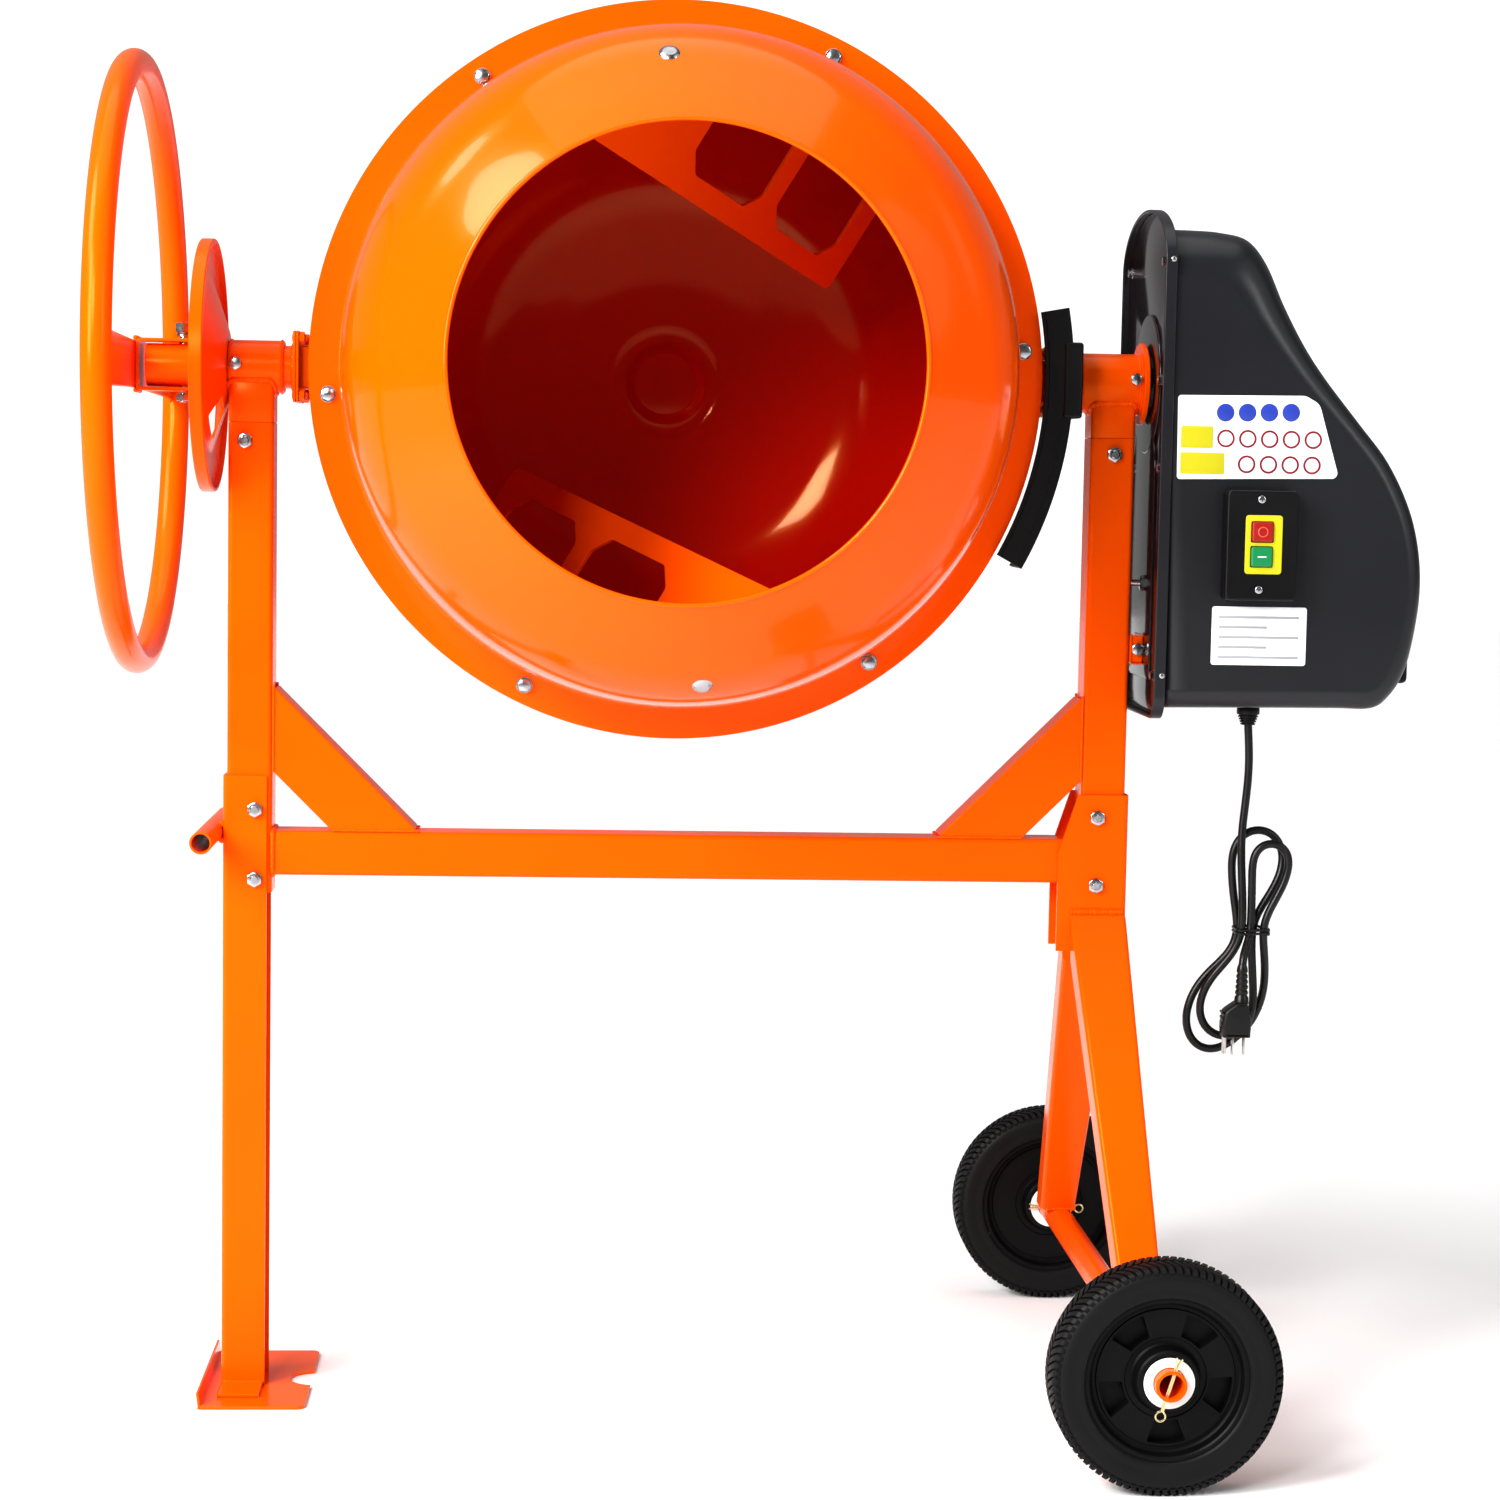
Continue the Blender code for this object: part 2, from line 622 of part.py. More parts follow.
PADDLE_THICKNESS = 0.004
PADDLE_START = Vector((-0.066, -0.200, 0.182))       # from the drum's centre to the paddle's front corner
PADDLE_ALONG = Vector((0.557, 0.792, -0.253)).normalized()
PADDLE_OUT = Vector((0.577, 0.0, 0.817))


def paddle_window(left, right, low, high, chamfer):
    return [(left + chamfer, low), (right - chamfer, low), (right, low + chamfer), (right, high), (left, high),
            (left, low + chamfer)]


def make_paddles(drum):
    """Two flat mixing blades with windows, half a turn apart, trimmed to the drum's wall."""
    length = 0.379
    reach = 0.200
    bar = 0.022
    top = 0.110
    chamfer = 0.018
    outline = [(-0.050, -0.0), (length, 0.0), (length, reach), (-0.050, reach)]
    sides = ((0.098, 0.216), (0.240, 0.352))
    windows = [paddle_window(left, right, bar, top, chamfer) for left, right in sides]
    normal = PADDLE_ALONG.cross(PADDLE_OUT).normalized()
    out = normal.cross(PADDLE_ALONG)
    for i, name in enumerate(("paddle_a", "paddle_b")):
        turn = Matrix.Rotation(math.pi * i, 3, "Y")
        axes = turn @ Matrix((PADDLE_ALONG, out, normal)).transposed()
        blade = plate(name, [outline] + windows, PADDLE_THICKNESS, TRUNNION + turn @ PADDLE_START,
                      axes.to_euler(), drum)
        boolean(blade, inner_space(name + "_space", drum), "INTERSECT")
        paint(blade, ORANGE)


# ---------------------------------------------------------------- yoke
PLATE_THICKNESS = 0.0024
PLATE_HALF = 0.0320


def make_left_trunnion(yoke):
    """The shaft through the left bearing, with its bolted end plate."""
    inner = -YOKE_X - PLATE_THICKNESS - GAP
    outer = inner - PLATE_THICKNESS
    wall = 0.0045
    profile = ring_profile(SHAFT_R - wall, SHAFT_R, -0.4780, outer + 0.001)
    shaft = turned("left_trunnion", profile, TRUNNION, TO_X, yoke, steps=24)
    end = box("left_trunnion_plate", (outer, -PLATE_HALF, AXIS_Z - PLATE_HALF),
              (inner, PLATE_HALF, AXIS_Z + PLATE_HALF), yoke)
    join(shaft, end)
    cut(shaft, cylinder("pivot_hole", 0.0048, 0.06, (PIVOT_X, 0.0, AXIS_Z), sides=16))
    paint(shaft, ORANGE)


def make_right_trunnion(yoke):
    """The tube through the right bearing, bored for the drive shaft's two bearings."""
    inner = YOKE_X + PLATE_THICKNESS + GAP
    outer = inner + PLATE_THICKNESS
    bore = DRIVE_R + GAP
    profile = [(RIGHT_TUBE_R, 0.4340), (RIGHT_TUBE_R, outer - 0.001), (bore, outer - 0.001), (bore, 0.3600),
               (0.0160, 0.3620), (0.0160, 0.4150), (bore, 0.4170), (bore, 0.4340)]
    tube = turned("right_trunnion", profile, TRUNNION, TO_X, yoke, steps=24)
    end = box("right_trunnion_plate", (inner, -PLATE_HALF, AXIS_Z - PLATE_HALF),
              (outer, PLATE_HALF, AXIS_Z + PLATE_HALF), yoke)
    join(tube, end)
    cut(tube, cylinder("right_trunnion_bore", bore, 0.2, (0.38, 0.0, AXIS_Z), TO_X))
    paint(tube, ORANGE)


ARM_THICKNESS = 0.014
ARM_HEIGHT = 0.040
ARM_BACK_Y = 0.325


def arm_path(offset):
    """Half of the yoke's plan outline, from the trunnion round to the middle of its back."""
    side = YOKE_X - ARM_THICKNESS / 2 + offset
    back = ARM_BACK_Y + offset
    corner = 0.055
    lean = math.degrees(math.atan2(back - 0.120, side - 0.215))
    points = [(side, -0.020)]
    points += arc((side - corner, 0.105), corner, 0, 90 - lean * 0.5, 4)
    points += [(0.232 + offset * 0.5, back - 0.024 + offset * 0.2), (0.205, back)]
    return points


def make_yoke_arm(yoke):
    """The U-shaped arm behind the drum: a closed plan outline, raised to the arm's height."""
    half = ARM_THICKNESS / 2
    outer = arm_path(half)
    inner = arm_path(-half)
    right = outer + list(reversed([(-x, y) for x, y in outer]))
    left = [(-x, y) for x, y in inner] + list(reversed(inner))
    arm = plate("yoke_arm", [right + left], ARM_HEIGHT, TRUNNION, (0.0, 0.0, 0.0), yoke)
    for side in (-1, 1):
        low_x = YOKE_X - 0.001 if side > 0 else -YOKE_X - PLATE_THICKNESS
        end = box(f"yoke_plate_{side}", (low_x, -PLATE_HALF, AXIS_Z - PLATE_HALF),
                  (low_x + PLATE_THICKNESS + 0.001, PLATE_HALF, AXIS_Z + PLATE_HALF), yoke)
        join(arm, end)
    cut(arm, cylinder("arm_shaft_hole", 0.0130, 0.06, (YOKE_X, 0.0, AXIS_Z), TO_X),
        cylinder("arm_spindle_hole", SPINDLE_R + GAP, 0.06, (0.0, ARM_BACK_Y, AXIS_Z), TO_Y))
    paint(arm, ORANGE)


def make_spindle(yoke):
    """The short axle that the drum turns on, with a nut behind the yoke."""
    back = ARM_BACK_Y + ARM_THICKNESS / 2 + GAP
    profile = [(0.0, 0.345), (0.020, 0.345), (0.020, back), (SPINDLE_R, back), (SPINDLE_R, 0.281), (0.0, 0.281)]
    paint(turned("drum_spindle", profile, TRUNNION, TO_Y, yoke, steps=24), STEEL)


def make_gear_guard(yoke):
    """The plastic guard over the pinion and the first stretch of the ring gear."""
    front, back = -0.0720, -0.0080
    start, end = -28.5, 10.5
    inner, outer, wall = 0.3300, 0.3560, 0.0030
    face = plate("gear_guard", [sector(inner, outer - wall / 2, start + 0.2, end - 0.2, 12)], wall,
                 (0.0, front + wall / 2 + 0.0005, AXIS_Z), FACE_XZ, yoke)
    rim = plate("guard_rim", [sector(outer - wall, outer, start, end, 12)], back - front,
                (0.0, (front + back) / 2, AXIS_Z), FACE_XZ, yoke)
    boss = box("guard_boss", (0.3465, front - 0.0010, AXIS_Z - 0.0340),
               (0.3640, back + 0.004, AXIS_Z + 0.0340), yoke)
    tube = cylinder("guard_tube_space", RIGHT_TUBE_R + 0.001, 0.1, (0.36, 0.0, AXIS_Z), TO_X, yoke)
    notch = box("guard_notch", (0.30, -0.1, AXIS_Z - 0.0345), (0.3464, 0.0, AXIS_Z + 0.0345), yoke)
    paint(cut(join(face, rim, boss), tube, notch), BLACK)


def make_pivot_bolt(yoke):
    """The upright bolt that holds the handwheel's fork to the left shaft."""
    head_top = AXIS_Z + 0.0395
    nut_low = AXIS_Z - 0.0335
    profile = [(0.0, head_top), (0.0075, head_top), (0.0075, AXIS_Z + 0.0260), (0.0045, AXIS_Z + 0.0260),
               (0.0045, AXIS_Z - 0.0260), (0.0075, AXIS_Z - 0.0260), (0.0075, nut_low), (0.0, nut_low)]
    paint(turned("pivot_bolt", profile, (PIVOT_X, 0.0, 0.0), (0.0, 0.0, 0.0), yoke, steps=12), STEEL)


# ---------------------------------------------------------------- drive train
DRIVE_R = 0.0100
PULLEY_X = 0.4800
PULLEY_HALF = 0.0100
MOTOR_SHAFT_R = 0.0070


def make_drive_shaft(drive):
    paint(cylinder("drive_shaft", DRIVE_R, 0.2000, (0.3990, 0.0, AXIS_Z), TO_X, drive), STEEL)


def make_pinion(drive):
    """The bevel pinion at the height of its pitch line."""
    slope = 0.0355 / 0.3115
    low, high = 0.3010, 0.3215
    bore = DRIVE_R + GAP
    profile = [(slope * high, high), (slope * low, low), (bore, low), (bore, high)]
    paint(turned("bevel_pinion", profile, TRUNNION, TO_X, drive, steps=24), CAST_IRON)


def pulley_profile(bore, outer, groove):
    half = PULLEY_HALF
    return [(bore, half), (outer, half), (outer, half - 0.003), (outer - groove, half - 0.0065),
            (outer - groove, -half + 0.0065), (outer, -half + 0.003), (outer, -half), (bore, -half)]


LARGE_PULLEY_R = 0.085
SMALL_PULLEY_R = 0.022
GROOVE = 0.009


def make_large_pulley(drive):
    profile = pulley_profile(DRIVE_R + GAP, LARGE_PULLEY_R, GROOVE)
    paint(turned("large_pulley", profile, (PULLEY_X, 0.0, AXIS_Z), TO_X, drive, steps=32), CAST_IRON)


def make_motor_pulley(rotor):
    """The motor's output shaft and the small pulley on it, as one piece."""
    half = PULLEY_HALF
    groove = SMALL_PULLEY_R - GROOVE
    profile = [(0.0, 0.021), (MOTOR_SHAFT_R, 0.021), (MOTOR_SHAFT_R, half), (SMALL_PULLEY_R, half),
               (SMALL_PULLEY_R, half - 0.003), (groove, half - 0.0065), (groove, -half + 0.0065),
               (SMALL_PULLEY_R, -half + 0.003), (SMALL_PULLEY_R, -half), (0.0, -half)]
    paint(turned("motor_pulley", profile, (PULLEY_X, 0.0, MOTOR_Z), TO_X, rotor, steps=24), CAST_IRON)


def belt_outline(large, small):
    """The plan of a belt round both pulleys, with its straight runs tangent to them."""
    distance = AXIS_Z - MOTOR_Z
    lean = math.degrees(math.asin((large - small) / distance))
    return (arc((0.0, 0.0), large, -lean, 180 + lean, 20)
            + arc((0.0, -distance), small, 180 + lean, 360 - lean, 10))


def make_belt():
    thickness = 0.0060
    clear = 0.0006
    large = LARGE_PULLEY_R - GROOVE + clear
    small = SMALL_PULLEY_R - GROOVE + clear
    outer = belt_outline(large + thickness, small + thickness)
    inner = belt_outline(large, small)
    paint(plate("drive_belt", [outer, inner], 0.0060, (PULLEY_X, 0.0, AXIS_Z), TO_X), BLACK)


def make_motor():
    """The motor behind the small pulley, on a cradle from the back plate."""
    profile = [(0.0, 0.1400), (0.0520, 0.1400), (0.0620, 0.1300), (0.0620, 0.0080), (0.0400, 0.0),
               (MOTOR_SHAFT_R + GAP, 0.0), (MOTOR_SHAFT_R + GAP, 0.0030), (0.0, 0.0030)]
    motor = turned("motor", profile, (0.5010, 0.0, MOTOR_Z), TO_X, steps=24)
    cradle = box("motor_cradle", (BACK_PLATE_X + 0.0023, -0.035, MOTOR_Z - 0.0650),
                 (0.6000, 0.035, MOTOR_Z - 0.0590))
    paint(join(motor, cradle), DARK_GREY)


# ---------------------------------------------------------------- handwheel
def make_handwheel_rim(wheel):
    """The tube rim with its flat crossbar, along Y through the hub."""
    hub = (HANDWHEEL_X, 0.0, AXIS_Z)
    ring = [(HANDWHEEL_X, u, AXIS_Z + v) for u, v in arc((0, 0), HANDWHEEL_R, 0, 351, 39)]
    rim = rod("handwheel_rim", ring, HANDWHEEL_TUBE_R, wheel, cyclic=True, resolution=2, origin=hub)
    ends = [(-HANDWHEEL_R, -0.0255), (-0.030, -0.0215), (0.030, -0.0215), (HANDWHEEL_R, -0.0255),
            (HANDWHEEL_R, 0.0255), (0.030, 0.0215), (-0.030, 0.0215), (-HANDWHEEL_R, 0.0255)]
    bar = plate("handwheel_bar", [ends], 0.004, (HANDWHEEL_X - 0.004, 0.0, AXIS_Z), TO_X, wheel)
    paint(join(rim, bar), ORANGE)


def make_handwheel_fork(wheel):
    """The U bracket from the crossbar to the pivot bolt, over and under the shaft."""
    gap_half, wall = SHAFT_R + 0.0012, 0.0030
    low = (HANDWHEEL_X - 0.002 + GAP, -gap_half - wall)
    high = (PIVOT_X + 0.012, gap_half + wall)
    outline = channel_outline(low, high, wall, "+X")
    fork = plate("handwheel_fork", [outline], 0.034, TRUNNION, FACE_XZ, wheel)
    cut(fork, cylinder("fork_hole", 0.0048, 0.08, (PIVOT_X, 0.0, AXIS_Z), parent=wheel, sides=16))
    paint(fork, ORANGE)


# ---------------------------------------------------------------- housing
def housing_outline(inset, left):
    """The cover's side outline in X and Z, closed along its open side at x = left."""
    shape = [(0.4880, 1.0760), (0.5125, 1.0695), (0.5300, 1.0480), (0.5460, 1.0110), (0.5645, 0.9750),
             (0.5845, 0.9450), (0.6150, 0.9065), (0.6425, 0.8715), (0.6635, 0.8300), (0.6735, 0.7900),
             (0.6755, 0.7500), (0.6700, 0.7080), (0.6625, 0.6800), (0.6500, 0.6600), (0.6340, 0.6490)]
    points = [Vector((left, 1.0778))] + [Vector(p) for p in shape] + [Vector((left, 0.6470))]
    moved = []
    for i, point in enumerate(points):
        before = points[max(i - 1, 0)]
        after = points[min(i + 1, len(points) - 1)]
        along = (after - before).normalized()
        moved.append(point + Vector((along.y, -along.x)) * inset)
    moved[0].x = left
    moved[-1].x = left
    return [(p.x, p.y) for p in reversed(moved)]


def housing_solid(name, inset, left, half):
    block = plate(name, [housing_outline(inset, left)], 2 * half, (0.0, HOUSING_Y, 0.0), FACE_XZ)
    return bevel(block, 0.024 - inset, segments=3, degrees=60)


def lip_outline(inset):
    """The outline in Y and Z of the open side: round lower corners and an arch at the top."""
    near = HOUSING_Y - HOUSING_HALF_Y - LIP_REACH + inset
    far = HOUSING_Y + HOUSING_HALF_Y + LIP_REACH - inset
    low = LIP_LOW_Z + inset
    radius = 0.022 - inset
    half = (far - near) / 2
    rise = LIP_RISE - inset
    spring = LIP_HIGH_Z - LIP_RISE
    arch = [(HOUSING_Y + half * u, spring + rise * v) for u, v in arc((0.0, 0.0), 1.0, 0, 180, 14)]
    return (arc((near + radius, low + radius), radius, 180, 270, 4)
            + arc((far - radius, low + radius), radius, 270, 360, 4) + arch)


def make_housing_cover():
    """The hollow cover behind a shallow arched tray, which is its open side towards the stand."""
    wall = 0.0028
    tray_depth = 0.0085
    floor = 0.0020
    near = HOUSING_Y - HOUSING_HALF_Y
    far = HOUSING_Y + HOUSING_HALF_Y
    cover = housing_solid("housing_cover", 0.0, HOUSING_X - 0.040, HOUSING_HALF_Y)
    hollow = housing_solid("cover_hollow", wall, HOUSING_X - 0.060, HOUSING_HALF_Y - wall)
    trim = box("cover_trim", (0.30, -0.3, 0.5), (HOUSING_X + tray_depth + floor / 4, 0.3, 1.3))
    opening = rounded_rectangle((near + wall, 0.6500), (far - wall, 1.0748), 0.032)
    lip = plate("cover_lip", [lip_outline(0.0), opening], tray_depth + floor,
                (HOUSING_X + (tray_depth + floor) / 2, 0.0, 0.0), TO_X)
    tray = plate("lip_tray", [lip_outline(0.0030)], 2 * tray_depth, (HOUSING_X, 0.0, 0.0), TO_X)
    gland_hole = cylinder("gland_hole", 0.0075, 0.05, (GLAND_X, CORD_Y, 0.647))
    paint(join(cut(cover, hollow, trim, gland_hole), cut(lip, tray)), DARK_GREY)


def make_back_plate():
    """The plate that closes the housing, held off the bearing's flange by a collar."""
    hole = arc((0.0, AXIS_Z), 0.0240, 0, 345, 23)
    closing = plate("housing_back_plate", [lip_outline(0.0034), hole], 0.0020, (BACK_PLATE_X, 0.0, 0.0), TO_X)
    collar = turned("back_plate_collar", ring_profile(0.0240, 0.0300, 0.4323, 0.4385), TRUNNION, TO_X, steps=24)
    paint(join(closing, collar), GLOSS_BLACK)


def make_motor_bracket():
    low_x = RIGHT_POST_X + TUBE / 2 + GAP
    high_x = BACK_PLATE_X - 0.0013
    block = box("motor_bracket", (low_x, -0.0200, 0.6820), (high_x, 0.0200, 0.7100))
    pocket = box("bracket_pocket", (low_x + 0.003, -0.0300, 0.6850), (high_x - 0.003, 0.0300, 0.7200))
    paint(cut(block, pocket), ORANGE)


def make_capacitor_box():
    """A small terminal box behind the cover's lower corner, shaped to the cover's side."""
    terminal = box("capacitor_box", (0.6450, 0.0300, 0.6650), (0.6980, 0.0780, 0.7030))
    seat = housing_solid("capacitor_seat", -GAP, HOUSING_X, HOUSING_HALF_Y)
    paint(cut(terminal, seat), BLACK)


SWITCH_LOW = (0.4890, 0.7466)
SWITCH_HIGH = (0.5533, 0.8445)
SWITCH_FRONT_Y = -0.1180
BUTTON_TRAVEL = 0.0030
BUTTONS = {"stop_button": (0.5209, 0.8077, RED), "start_button": (0.5206, 0.7856, GREEN)}


def make_switch():
    """The switch box on the cover, with a well for each of its two push buttons."""
    back = HOUSING_Y - HOUSING_HALF_Y - GAP
    middle = (back + SWITCH_FRONT_Y) / 2
    outline = rounded_rectangle(SWITCH_LOW, SWITCH_HIGH, 0.004, 2)
    body = plate("switch_box", [outline], back - SWITCH_FRONT_Y, (0.0, middle, 0.0), FACE_XZ)
    for name, (x, z, colour) in BUTTONS.items():
        half_x, half_z = 0.0100, 0.0093
        cut(body, box(name + "_well", (x - half_x, SWITCH_FRONT_Y - 0.01, z - half_z),
                      (x + half_x, SWITCH_FRONT_Y + 0.0110, z + half_z)))
        rest = (x, SWITCH_FRONT_Y, z)
        guide = new_empty(name + "_guide", ROOT, rest)
        button = box(name, (x - half_x + 0.0004, SWITCH_FRONT_Y - 0.0040, z - half_z + 0.0004),
                     (x + half_x - 0.0004, SWITCH_FRONT_Y + 0.0070, z + half_z - 0.0004), guide)
        paint(button, colour)
    paint(body, BLACK)


# ---------------------------------------------------------------- supply cord
GLAND_X = 0.5330
GLAND_TOP_Z = 0.6500
GLAND_LOW_Z = 0.6285
CORD_ROUTE = [(0.5330, 0.6400), (0.5332, 0.6280), (0.5350, 0.6070), (0.5355, 0.5839), (0.5333, 0.5569),
              (0.5308, 0.5345), (0.5292, 0.5167), (0.5311, 0.4934), (0.5353, 0.4712), (0.5382, 0.4480)]
TIE_Z = 0.4370
TIE_X = 0.5420
HANK_Y = (-0.0420, -0.0180)


def make_gland():
    """A moulded strain relief, through the bottom of the cover."""
    bore = CORD_R + GAP
    profile = [(0.0070, GLAND_TOP_Z), (0.0070, 0.6435), (0.0105, 0.6430), (0.0105, 0.6385), (0.0060, GLAND_LOW_Z),
               (bore, GLAND_LOW_Z), (bore, GLAND_TOP_Z)]
    paint(turned("cable_gland", profile, (GLAND_X, CORD_Y, 0.0), steps=20), BLACK)


def make_cord_drop():
    points = catmull_rom([(x, CORD_Y, z) for x, z in CORD_ROUTE], 2)
    paint(rod("cord_drop", points, CORD_R, resolution=1), BLACK)


def make_hank():
    """The outer shape of the folded cord: an upper and a lower lobe with a waist at the tie."""
    waist = 0.0130
    upper = ((TIE_X - waist, TIE_Z + 0.006), (0.5370, 0.4700), (0.5420, 0.5140), (0.5480, 0.5290),
             (0.5560, 0.5330), (0.5650, 0.5230), (0.5710, 0.4980), (0.5660, 0.4650),
             (TIE_X + waist, TIE_Z + 0.006))
    lower = ((TIE_X + waist, TIE_Z - 0.006), (0.5590, 0.3950), (0.5610, 0.3680), (0.5520, 0.3570),
             (0.5300, 0.3600), (0.5080, 0.3310), (0.4950, 0.3200), (0.4850, 0.3320), (0.4800, 0.3680),
             (0.4960, 0.4040), (TIE_X - waist, TIE_Z - 0.006))
    outline = [Vector(p) for p in upper + lower]
    middle_y = sum(HANK_Y) / 2
    thickness = HANK_Y[1] - HANK_Y[0]
    hank = plate("cord_hank", [[(p.x, p.y) for p in outline]], thickness, (0.0, middle_y, 0.0), FACE_XZ)
    entry = box("cord_entry", (0.50, -0.1, 0.4475), (0.5430, 0.1, 0.56))
    paint(cut(hank, entry), BLACK)


def make_tie():
    """The wire tie round the hank's waist."""
    clear, wall = GAP, 0.0016
    half_x, half_y = 0.0132 + clear, (HANK_Y[1] - HANK_Y[0]) / 2 + clear
    loops = [rectangle(2 * (half_x + wall), 2 * (half_y + wall)), rectangle(2 * half_x, 2 * half_y)]
    paint(plate("cord_tie", loops, 0.0060, (TIE_X, sum(HANK_Y) / 2, TIE_Z)), BLACK)


def make_plug():
    """A moulded plug with two flat blades and a round earth pin, in front of the hank."""
    back = HANK_Y[0] - 0.0004
    front = back - 0.0220
    middle_y = (back + front) / 2
    body = box("plug", (0.5110, front, 0.3400), (0.5390, back, 0.3800))
    relief = cylinder("plug_relief", 0.0060, 0.0320, (0.5300, middle_y, 0.3930), sides=12)
    join(body, relief)
    for i, x in enumerate((0.5225, 0.5330)):
        low = (x, middle_y - 0.0010, 0.3240)
        join(body, box(f"blade_{i}", low, (x + 0.0015, middle_y + 0.0050, 0.3420)))
    join(body, cylinder("earth_pin", 0.0022, 0.0170, (0.5150, middle_y, 0.3330), sides=10))
    paint(body, BLACK)


# ---------------------------------------------------------------- assembly
def make_stand():
    make_posts()
    make_left_head()
    make_right_head()
    make_beam()
    make_braces()
    make_left_leg()
    make_foot_plate()
    make_tow_handle()
    make_leg_bracket()
    make_wheel_legs()
    make_axle()
    make_washers_and_pins()
    make_lock_disc()


def make_drum(yoke):
    drum = new_empty("drum_axis", yoke, TRUNNION)
    make_drum_bowl(drum)
    make_drum_cone(drum)
    make_ring_gear(drum)
    make_drum_hub(drum)
    make_paddles(drum)


def make_yoke(yoke):
    make_left_trunnion(yoke)
    make_right_trunnion(yoke)
    make_yoke_arm(yoke)
    make_spindle(yoke)
    make_gear_guard(yoke)
    make_pivot_bolt(yoke)


def make_drive(yoke):
    drive = new_empty("drive_axis", yoke, TRUNNION)
    make_drive_shaft(drive)
    make_pinion(drive)
    make_large_pulley(drive)
    rotor = new_empty("motor_axis", ROOT, (PULLEY_X, 0.0, MOTOR_Z))
    make_motor_pulley(rotor)
    make_belt()
    make_motor()


def make_handwheel(yoke):
    wheel = new_empty("handwheel_pivot", yoke, (PIVOT_X, 0.0, AXIS_Z))
    make_handwheel_rim(wheel)
    make_handwheel_fork(wheel)


def make_housing():
    make_housing_cover()
    make_back_plate()
    make_motor_bracket()
    make_capacitor_box()
    make_switch()


def make_cord():
    make_gland()
    make_cord_drop()
    make_hank()
    make_tie()
    make_plug()


def move_to_base():
    """Shift the whole model so that the middle of its base is the world's origin."""
    bpy.context.view_layer.update()
    graph = bpy.context.evaluated_depsgraph_get()
    corners = []
    for piece in PARTS.objects:
        if piece.type == "MESH" and piece.name not in CORD_PIECES:
            solid = piece.evaluated_get(graph)
            corners += [solid.matrix_world @ vertex.co for vertex in solid.data.vertices]
    low = [min(corner[i] for corner in corners) for i in range(3)]
    high = [max(corner[i] for corner in corners) for i in range(3)]
    ROOT.location = (-(low[0] + high[0]) / 2, -(low[1] + high[1]) / 2, -low[2])


clear_scene()
PARTS = new_collection("concrete_mixer")
CUTTERS = new_collection("cutters")
ROOT = new_empty("mixer")
make_stand()
YOKE = new_empty("trunnion_axis", ROOT, TRUNNION)
make_yoke(YOKE)
make_drum(YOKE)
make_drive(YOKE)
make_handwheel(YOKE)
for wheel_name, wheel_side in (("front_wheel", -1), ("rear_wheel", 1)):
    make_wheel(wheel_name, wheel_side)
make_housing()
make_cord()
move_to_base()
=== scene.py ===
"""Looks of an electric concrete mixer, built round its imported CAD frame.

Everything is in metres in the frame's own axes: X runs along the trunnions, from the handwheel to the
belt-drive housing, -Y is the side the drum's mouth faces, and +Z is up. Places come from the frame's
boxes and joints. at(x, y, z) takes x from the drum's axis, because most pieces are set out from it.
"""
import json
import math

import bmesh
import bpy
from mathutils import Matrix, Vector, noise


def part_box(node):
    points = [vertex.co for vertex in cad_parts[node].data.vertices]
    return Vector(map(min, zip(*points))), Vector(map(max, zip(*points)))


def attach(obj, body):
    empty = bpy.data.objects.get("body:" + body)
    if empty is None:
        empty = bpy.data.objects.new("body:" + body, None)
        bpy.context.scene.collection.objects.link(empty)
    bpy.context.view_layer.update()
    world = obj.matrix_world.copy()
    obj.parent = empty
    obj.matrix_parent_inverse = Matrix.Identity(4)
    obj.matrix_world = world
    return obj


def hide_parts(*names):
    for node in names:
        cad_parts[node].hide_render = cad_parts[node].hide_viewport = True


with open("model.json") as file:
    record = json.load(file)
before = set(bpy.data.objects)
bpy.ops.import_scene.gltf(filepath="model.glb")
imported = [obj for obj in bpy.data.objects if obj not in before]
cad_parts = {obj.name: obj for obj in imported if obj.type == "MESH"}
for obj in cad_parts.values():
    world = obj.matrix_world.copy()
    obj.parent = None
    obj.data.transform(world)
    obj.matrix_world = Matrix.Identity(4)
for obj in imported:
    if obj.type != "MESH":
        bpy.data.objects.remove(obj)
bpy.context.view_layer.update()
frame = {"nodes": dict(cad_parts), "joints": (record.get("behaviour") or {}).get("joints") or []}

JOINTS = {joint["name"]: joint for joint in frame["joints"]}
AXIS = Vector(JOINTS["drum_spin"]["pos_m"])          # where the drum's axis meets the trunnions' axis
X_AXIS = Vector((1.0, 0.0, 0.0))
Y_AXIS = Vector((0.0, 1.0, 0.0))
Z_AXIS = Vector((0.0, 0.0, 1.0))

# ---------------------------------------------------------------- driving dimensions, in metres
GAP = 0.0003
TUBE_WALL = 0.0025
TUBE_CORNER = 0.0045             # outer corner radius of the square tubes
SHEET = 0.0025                   # drum sheet
WASHER = 0.0014                  # thickness of the flat washers
BEND = 0.0050                    # outer bend radius of the folded channels

